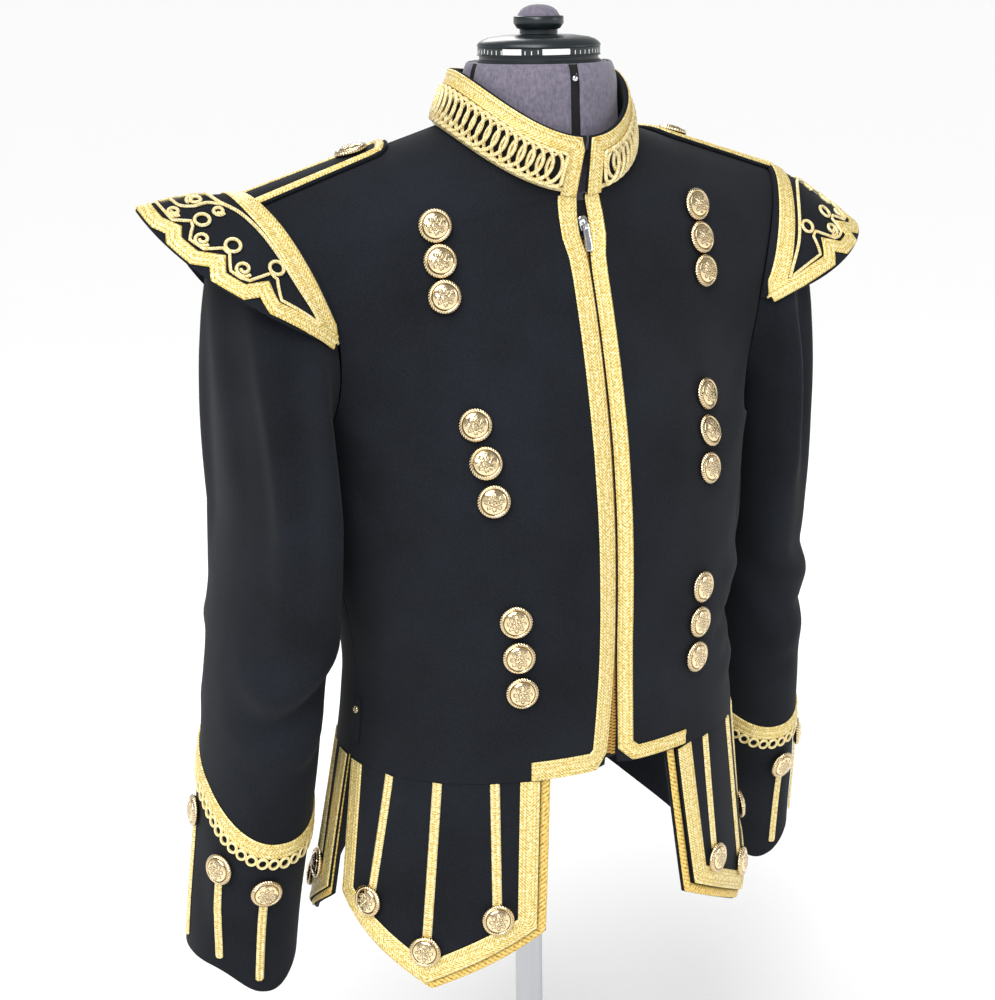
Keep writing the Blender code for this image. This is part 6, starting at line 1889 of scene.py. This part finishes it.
    def tab(self) -> bmesh.types.BMesh:
        """The pull tab: a rounded plate with an eye, a waist and a raised rim."""
        width, length, thick = self.pull
        eye_x, eye_y = self.eye
        shape = bmesh.new()
        top, half = thick / 2, width / 2
        turn = np.linspace(0, 2 * math.pi, 24, endpoint=False)
        eye_at = -top - eye_y / 2
        eye = [(math.copysign(abs(math.sin(a)) ** 0.5, math.sin(a)) * eye_x / 2, eye_at + eye_y / 2 * math.cos(a))
               for a in turn]
        mid = top - length / 2
        edge = []
        for a in turn:
            x, y = math.sin(a), math.cos(a)
            across = math.copysign(abs(x) ** 0.42, x) * half
            along = mid + math.copysign(abs(y) ** 0.42, y) * length / 2
            waist = 1 - 0.22 * math.exp(-((along + 0.0075) / 0.0022) ** 2)
            edge.append((across * waist, along))
        rings = [(eye, -top), (edge, -top * 0.7), (edge, top * 0.7)]
        inset = [(x * 0.72, mid + (y - mid) * 0.93) for x, y in edge]
        rings += [(inset, top), (eye, top * 0.8)]
        loops = [[shape.verts.new((x, y, z)) for x, y in points] for points, z in rings]
        for a, b in zip(loops, loops[1:] + loops[:1]):
            for i in range(24):
                shape.faces.new((a[i], a[(i + 1) % 24], b[(i + 1) % 24], b[i]))
        bmesh.ops.recalc_face_normals(shape, faces=shape.faces)
        return shape

    @staticmethod
    def solid(name: str, shape: bmesh.types.BMesh, matrix: Matrix) -> bpy.types.Object:
        """A nickel piece from its shape and its place."""
        mesh = bpy.data.meshes.new(name)
        shape.transform(matrix)
        shape.to_mesh(mesh)
        shape.free()
        mesh.materials.append(Finishes.NICKEL.material())
        return bpy.data.objects.new(name, mesh)


@dataclass
class SideTab:
    """A small studded tab at each side of the waist."""

    side: Side
    trunk: Trunk
    inset: float = 0.0085

    def build(self) -> None:
        """Tab of wool with a gilt stud."""
        skin = self.trunk.skin(True, self.side)
        last = skin.points.shape[1] - 1
        path = []
        for h in np.linspace(0.0145, 0.0475, 12):
            row = skin.at(self.trunk.row(h), np.linspace(last - 12, last, 60))
            run = run_of(row)
            path.append([np.interp(run[-1] - self.inset, run, row[:, k]) for k in range(3)])
        path = np.array(path)
        bundle = Bundle("side_tab_wool_" + self.side.name, self.side)
        skin.strip(bundle, Finishes.WOOL, path, 0.0052, SEAM * 2, lambda s: 0.0016 + 0 * s, 7,
                   taper=np.concatenate([np.ones(8), [0.95, 0.8, 0.55, 0.3]]))
        stud = [(0, 0.0026), (0.0014, 0.0024), (0.0024, 0.0017), (0.0028, 0.0008), (0.0028, 0), (0, 0)]
        bundle.turned(Finishes.GILT, stud, 16, skin.seat(path[8], 0.0020))
        bundle.made("cloth", ["side_tab_" + self.side.name])


# Dress form
@dataclass
class DressForm:
    """The limbless form's neck, cap, knob, pole and base."""

    centre_y: float = -0.027
    neck: tuple[tuple[float, float], ...] = ((0.444, 0.0558), (0.455, 0.0555), (0.475, 0.0545), (0.492, 0.0537),
                                             (0.4985, 0.0520), (0.5012, 0.0508))
    cap: tuple[tuple[float, float], ...] = (
        (0.0, 0.5205), (0.012, 0.5204), (0.026, 0.5199), (0.036, 0.5184), (0.0405, 0.5168), (0.0430, 0.5148),
        (0.0440, 0.5135), (0.0440, 0.5126), (0.0432, 0.5122), (0.0432, 0.5072), (0.0440, 0.5068), (0.0440, 0.5062),
        (0.0425, 0.5058), (0.0425, 0.5036), (0.0440, 0.5031), (0.0440, 0.5018), (0.0, 0.5018))
    knob: tuple[tuple[float, float], ...] = (
        (0.0, 0.5410), (0.0040, 0.5408), (0.0070, 0.5402), (0.0105, 0.5388), (0.0130, 0.5368), (0.0146, 0.5342),
        (0.0150, 0.5333), (0.0172, 0.5330), (0.0178, 0.5322), (0.0178, 0.5280), (0.0172, 0.5272), (0.0155, 0.5246),
        (0.0137, 0.5240), (0.0135, 0.5232), (0.0135, 0.5208), (0.0, 0.5208))
    seams: tuple[float, ...] = (-90.0, -2.2, 90.0, 180.0)
    seam_width: float = 0.0086
    plates: tuple[tuple[float, float], ...] = ((-55.0, 9.5), (-13.0, 13.0), (62.0, 8.0), (131.0, 12.0), (214.0, 10.0))
    pole: float = 0.0110
    base: tuple[float, float] = (0.150, 0.016)
    ticks: int = 60

    def ring(self, radius: float, angle: float, height: float) -> tuple[float, float, float]:
        """A point round the form's axis, 0 in front and turning to the wearer's left."""
        turn = math.radians(angle)
        return radius * math.sin(turn), self.centre_y - radius * math.cos(turn), height

    def build(self) -> None:
        """Every piece of the form that shows."""
        torso = bpy.data.objects["form_torso"]
        for k in range(len(torso.material_slots)):
            torso.material_slots[k].material = Finishes.JERSEY.material()
        bundle = Bundle("form_neck_cover")
        core = np.array([[self.ring(r - 0.0001, a, h) for a in np.arange(0, 360, 4)] for h, r in self.neck])
        bundle.wall(Finishes.FELT, core, core - (core - [0, self.centre_y, 0]) * [0.02, 0.02, 0], closed=True)
        for start, end in zip(self.seams, self.seams[1:] + (self.seams[0] + 360,)):
            gap = math.degrees(self.seam_width / 2 / 0.054)
            angles = np.linspace(start + gap, end - gap, 44)
            rows = smooth(np.array(self.neck)[:, ::-1] @ np.array([[1, 0], [0, 1]]), 0.003)
            outer = np.array([[self.ring(r + 0.0012, a, h) for a in angles] for r, h in rows])
            inner = np.array([[self.ring(r - 0.0006, a, h) for a in angles] for r, h in rows])
            bundle.wall(Finishes.JERSEY, outer, inner, swell=0.5)
        bundle.made("jersey")
        here = Matrix.Translation((0, self.centre_y, 0))
        bundle = Bundle("form_cap_moulded")
        bundle.turned(Finishes.ABS, self.cap, 96, here)
        band = np.array([[self.ring(r, a, h) for a in np.arange(0, 360, 3)]
                         for r, h in ((0.0433, 0.5075), (0.0436, 0.5076), (0.0436, 0.5118), (0.0433, 0.5119))])
        bundle.wall(Finishes.ABS, band, band - (band - [0, self.centre_y, 0]) * [0.006, 0.006, 0], closed=True)
        for angle, half in self.plates:
            plate = np.array([[self.ring(0.0438, a, h) for a in np.linspace(angle - half, angle + half, 10)]
                              for h in (0.5078, 0.5097, 0.5116)])
            bundle.wall(Finishes.PRINT, plate, plate - (plate - [0, self.centre_y, 0]) * [0.008, 0.008, 0])
        bundle.made("plastic", ["form_cap"])
        at = np.arange(self.ticks) * 360 / self.ticks
        places = np.array([self.ring(0.04365, a, 0.5092 if k % 5 else 0.5097) for k, a in enumerate(at)])
        facing = unit(places - [0, self.centre_y, 0] - [[0, 0, p[2]] for p in places])
        mark = bpy.data.meshes.new("tick")
        corners = [(x, y, z) for x in (-0.0014, 0.0014) for y in (-0.0003, 0.0003) for z in (-0.0001, 0.0001)]
        mark.from_pydata(corners, [],
                         [(0, 1, 3, 2), (4, 6, 7, 5), (0, 4, 5, 1), (2, 3, 7, 6), (0, 2, 6, 4), (1, 5, 7, 3)])
        ticks = Repeater().run("form_cap_ticks", places + UP, facing, np.tile((0.0, 0.0, 1.0), (len(at), 1)), mark,
                               Finishes.PRINT, 1.0, 0.12)
        placed(ticks)
        bundle = Bundle("form_knob_moulded")
        bundle.turned(Finishes.JERSEY, self.knob[:7] + ((0.0, 0.5330),), 64, here)
        bundle.turned(Finishes.ABS, ((0.0, 0.5334),) + self.knob[6:], 64, here)
        bundle.made("plastic", ["form_knob"])
        for angle in (self.seams[1], self.seams[3]):
            bundle = Bundle("form_screw_%s" % ("front" if angle < 0 else "back"))
            place = Vector(self.ring(0.0538, angle, 0.492))
            out = Vector((math.sin(math.radians(angle)), -math.cos(math.radians(angle)), 0))
            seat = Matrix.Translation(place) @ out.to_track_quat("Z", "Y").to_matrix().to_4x4()
            dome = ((0, 0.0018), (0.0012, 0.0017), (0.0021, 0.0011), (0.0023, 0.0), (0, 0))
            bundle.turned(Finishes.NICKEL, dome, 16, seat)
            bundle.made("steel")
        top, (radius, height) = 0.0117, self.base
        profile = [(0.0, top + HEM), (self.pole, top + HEM), (self.pole, height + 0.006), (0.014, height + 0.0055),
                   (0.030, height + 0.002), (0.034, height + 0.0006), (radius - 0.010, height),
                   (radius - 0.004, height - 0.0022),
                   (radius, height - 0.008), (radius, 0.0014), (radius - 0.0014, 0.0), (0.0, 0.0)]
        bundle = Bundle("form_stand_brushed")
        bundle.turned(Finishes.STEEL, [(r, z - HEM) for r, z in profile], 128)
        bundle.made("steel", ["form_stand"])


# Studio
@dataclass(frozen=True)
class Studio:
    """Plain pale floor, soft lights and the camera of the photograph."""

    place: tuple[float, float, float] = (-0.678, -1.227, 0.987)
    azimuth: float = -28.07
    down: float = 15.78
    roll: float = -0.77
    lens: float = 67.97
    lamps: tuple[tuple[str, tuple[float, float, float], float, float], ...] = (
        ("key", (-1.6, -2.2, 2.4), 1.0, 34.0), ("fill", (2.2, -1.6, 1.6), 0.9, 7.0),
        ("rim", (0.8, 2.2, 2.2), 1.0, 22.0))
    bank: tuple[float, float] = (2.8, 50.0)
    bank_way: tuple[float, float, float] = (-0.55, -0.35, 1.0)
    sky: tuple[float, float, float] = (0.4, 1.0, 0.30)

    @staticmethod
    def stand(name: str, data: bpy.types.ID, matrix: Matrix | None = None) -> bpy.types.Object:
        """Put a thing of the studio in the scene."""
        item = bpy.data.objects.new(name, data)
        if matrix is not None:
            item.matrix_world = matrix
        bpy.context.scene.collection.objects.link(item)
        return item

    def floor(self) -> None:
        """A wide pale floor."""
        mesh = bpy.data.meshes.new("studio_floor")
        mesh.from_pydata([(-90, -90, 0), (90, -90, 0), (90, 90, 0), (-90, 90, 0)], [], [(0, 1, 2, 3)])
        made = bpy.data.materials.new("pale_floor")
        made.use_nodes = True
        shader = made.node_tree.nodes["Principled BSDF"]
        shader.inputs["Base Color"].default_value = linear("#f4f4f4")
        shader.inputs["Roughness"].default_value = 0.9
        shader.inputs["Specular IOR Level"].default_value = 0.1
        mesh.materials.append(made)
        self.stand("studio_floor", mesh)

    def light(self, name: str, place: tuple[float, float, float], size: float, power: float) -> None:
        """A soft square light that faces the chest."""
        lamp = bpy.data.lights.new(name, "AREA")
        lamp.size, lamp.energy = size, power
        turn = (Vector((0, 0, 0.7)) - Vector(place)).to_track_quat("-Z", "Y")
        self.stand(name, lamp, Matrix.Translation(place) @ turn.to_matrix().to_4x4())

    def camera(self) -> None:
        """The photograph's own viewpoint."""
        turn, down, roll = (math.radians(a) for a in (self.azimuth, self.down, self.roll))
        back = Vector((math.sin(turn) * math.cos(down), -math.cos(turn) * math.cos(down), math.sin(down)))
        right = Vector((math.cos(turn), math.sin(turn), 0))
        frame = Matrix((right, back.cross(right), back)).transposed().to_4x4() @ Matrix.Rotation(roll, 4, "Z")
        lens = bpy.data.cameras.new("photo")
        lens.sensor_fit, lens.sensor_height, lens.lens = "VERTICAL", 36.0, self.lens
        lens.clip_start, lens.clip_end = 0.05, 200
        bpy.context.scene.camera = self.stand("photo_camera", lens, Matrix.Translation(self.place) @ frame)

    def build(self) -> None:
        """The whole studio."""
        self.floor()
        world = bpy.data.worlds.new("studio")
        world.use_nodes = True
        tree = world.node_tree
        way = add(tree, "ShaderNodeTexCoord").outputs["Generated"]
        rise = add(tree, "ShaderNodeSeparateXYZ", None, {0: way}).outputs["Z"]
        high, low_sky, top_sky = self.sky
        level = add(tree, "ShaderNodeMapRange", None,
                    {"Value": rise, "From Min": 0.0, "From Max": high, "To Min": low_sky, "To Max": top_sky})
        tree.nodes["Background"].inputs["Color"].default_value = (1.0, 1.0, 1.0, 1.0)
        tree.links.new(level.outputs[0], tree.nodes["Background"].inputs["Strength"])
        bpy.context.scene.world = world
        sun = bpy.data.lights.new("overhead_bank", "SUN")
        sun.energy, sun.angle = self.bank[0], math.radians(self.bank[1])
        self.stand("overhead_bank", sun, Vector(self.bank_way).to_track_quat("Z", "Y").to_matrix().to_4x4())
        for lamp in self.lamps:
            self.light(*lamp)
        bpy.context.scene.view_settings.view_transform = "Standard"
        self.camera()


def main() -> None:
    """Build every class in order."""
    trunk = Trunk()
    trunk.build_cloth()
    trunk.build_edge_braid()
    trunk.build_buttons()
    Collar().build()
    for side in Side:
        Sleeve(side).build()
    Wing(Side.R, reach=0.078, fall=0.005, sag=0.0180).build()
    Wing(Side.L, reach=0.090, fall=0.058, sag=0.0).build()
    for side, swing in ((Side.R, 0.0), (Side.L, 0.018)):
        Strap(side, trunk).build()
        for cut in (FRONT_FLAP, BACK_FLAP):
            Flap(cut, side, swing, trunk).build()
        SideTab(side, trunk).build()
    Zip(trunk).build()
    DressForm().build()
    Studio().build()


if __name__ == "__main__":
    logging.basicConfig(level=logging.INFO, format="%(message)s")
    main()
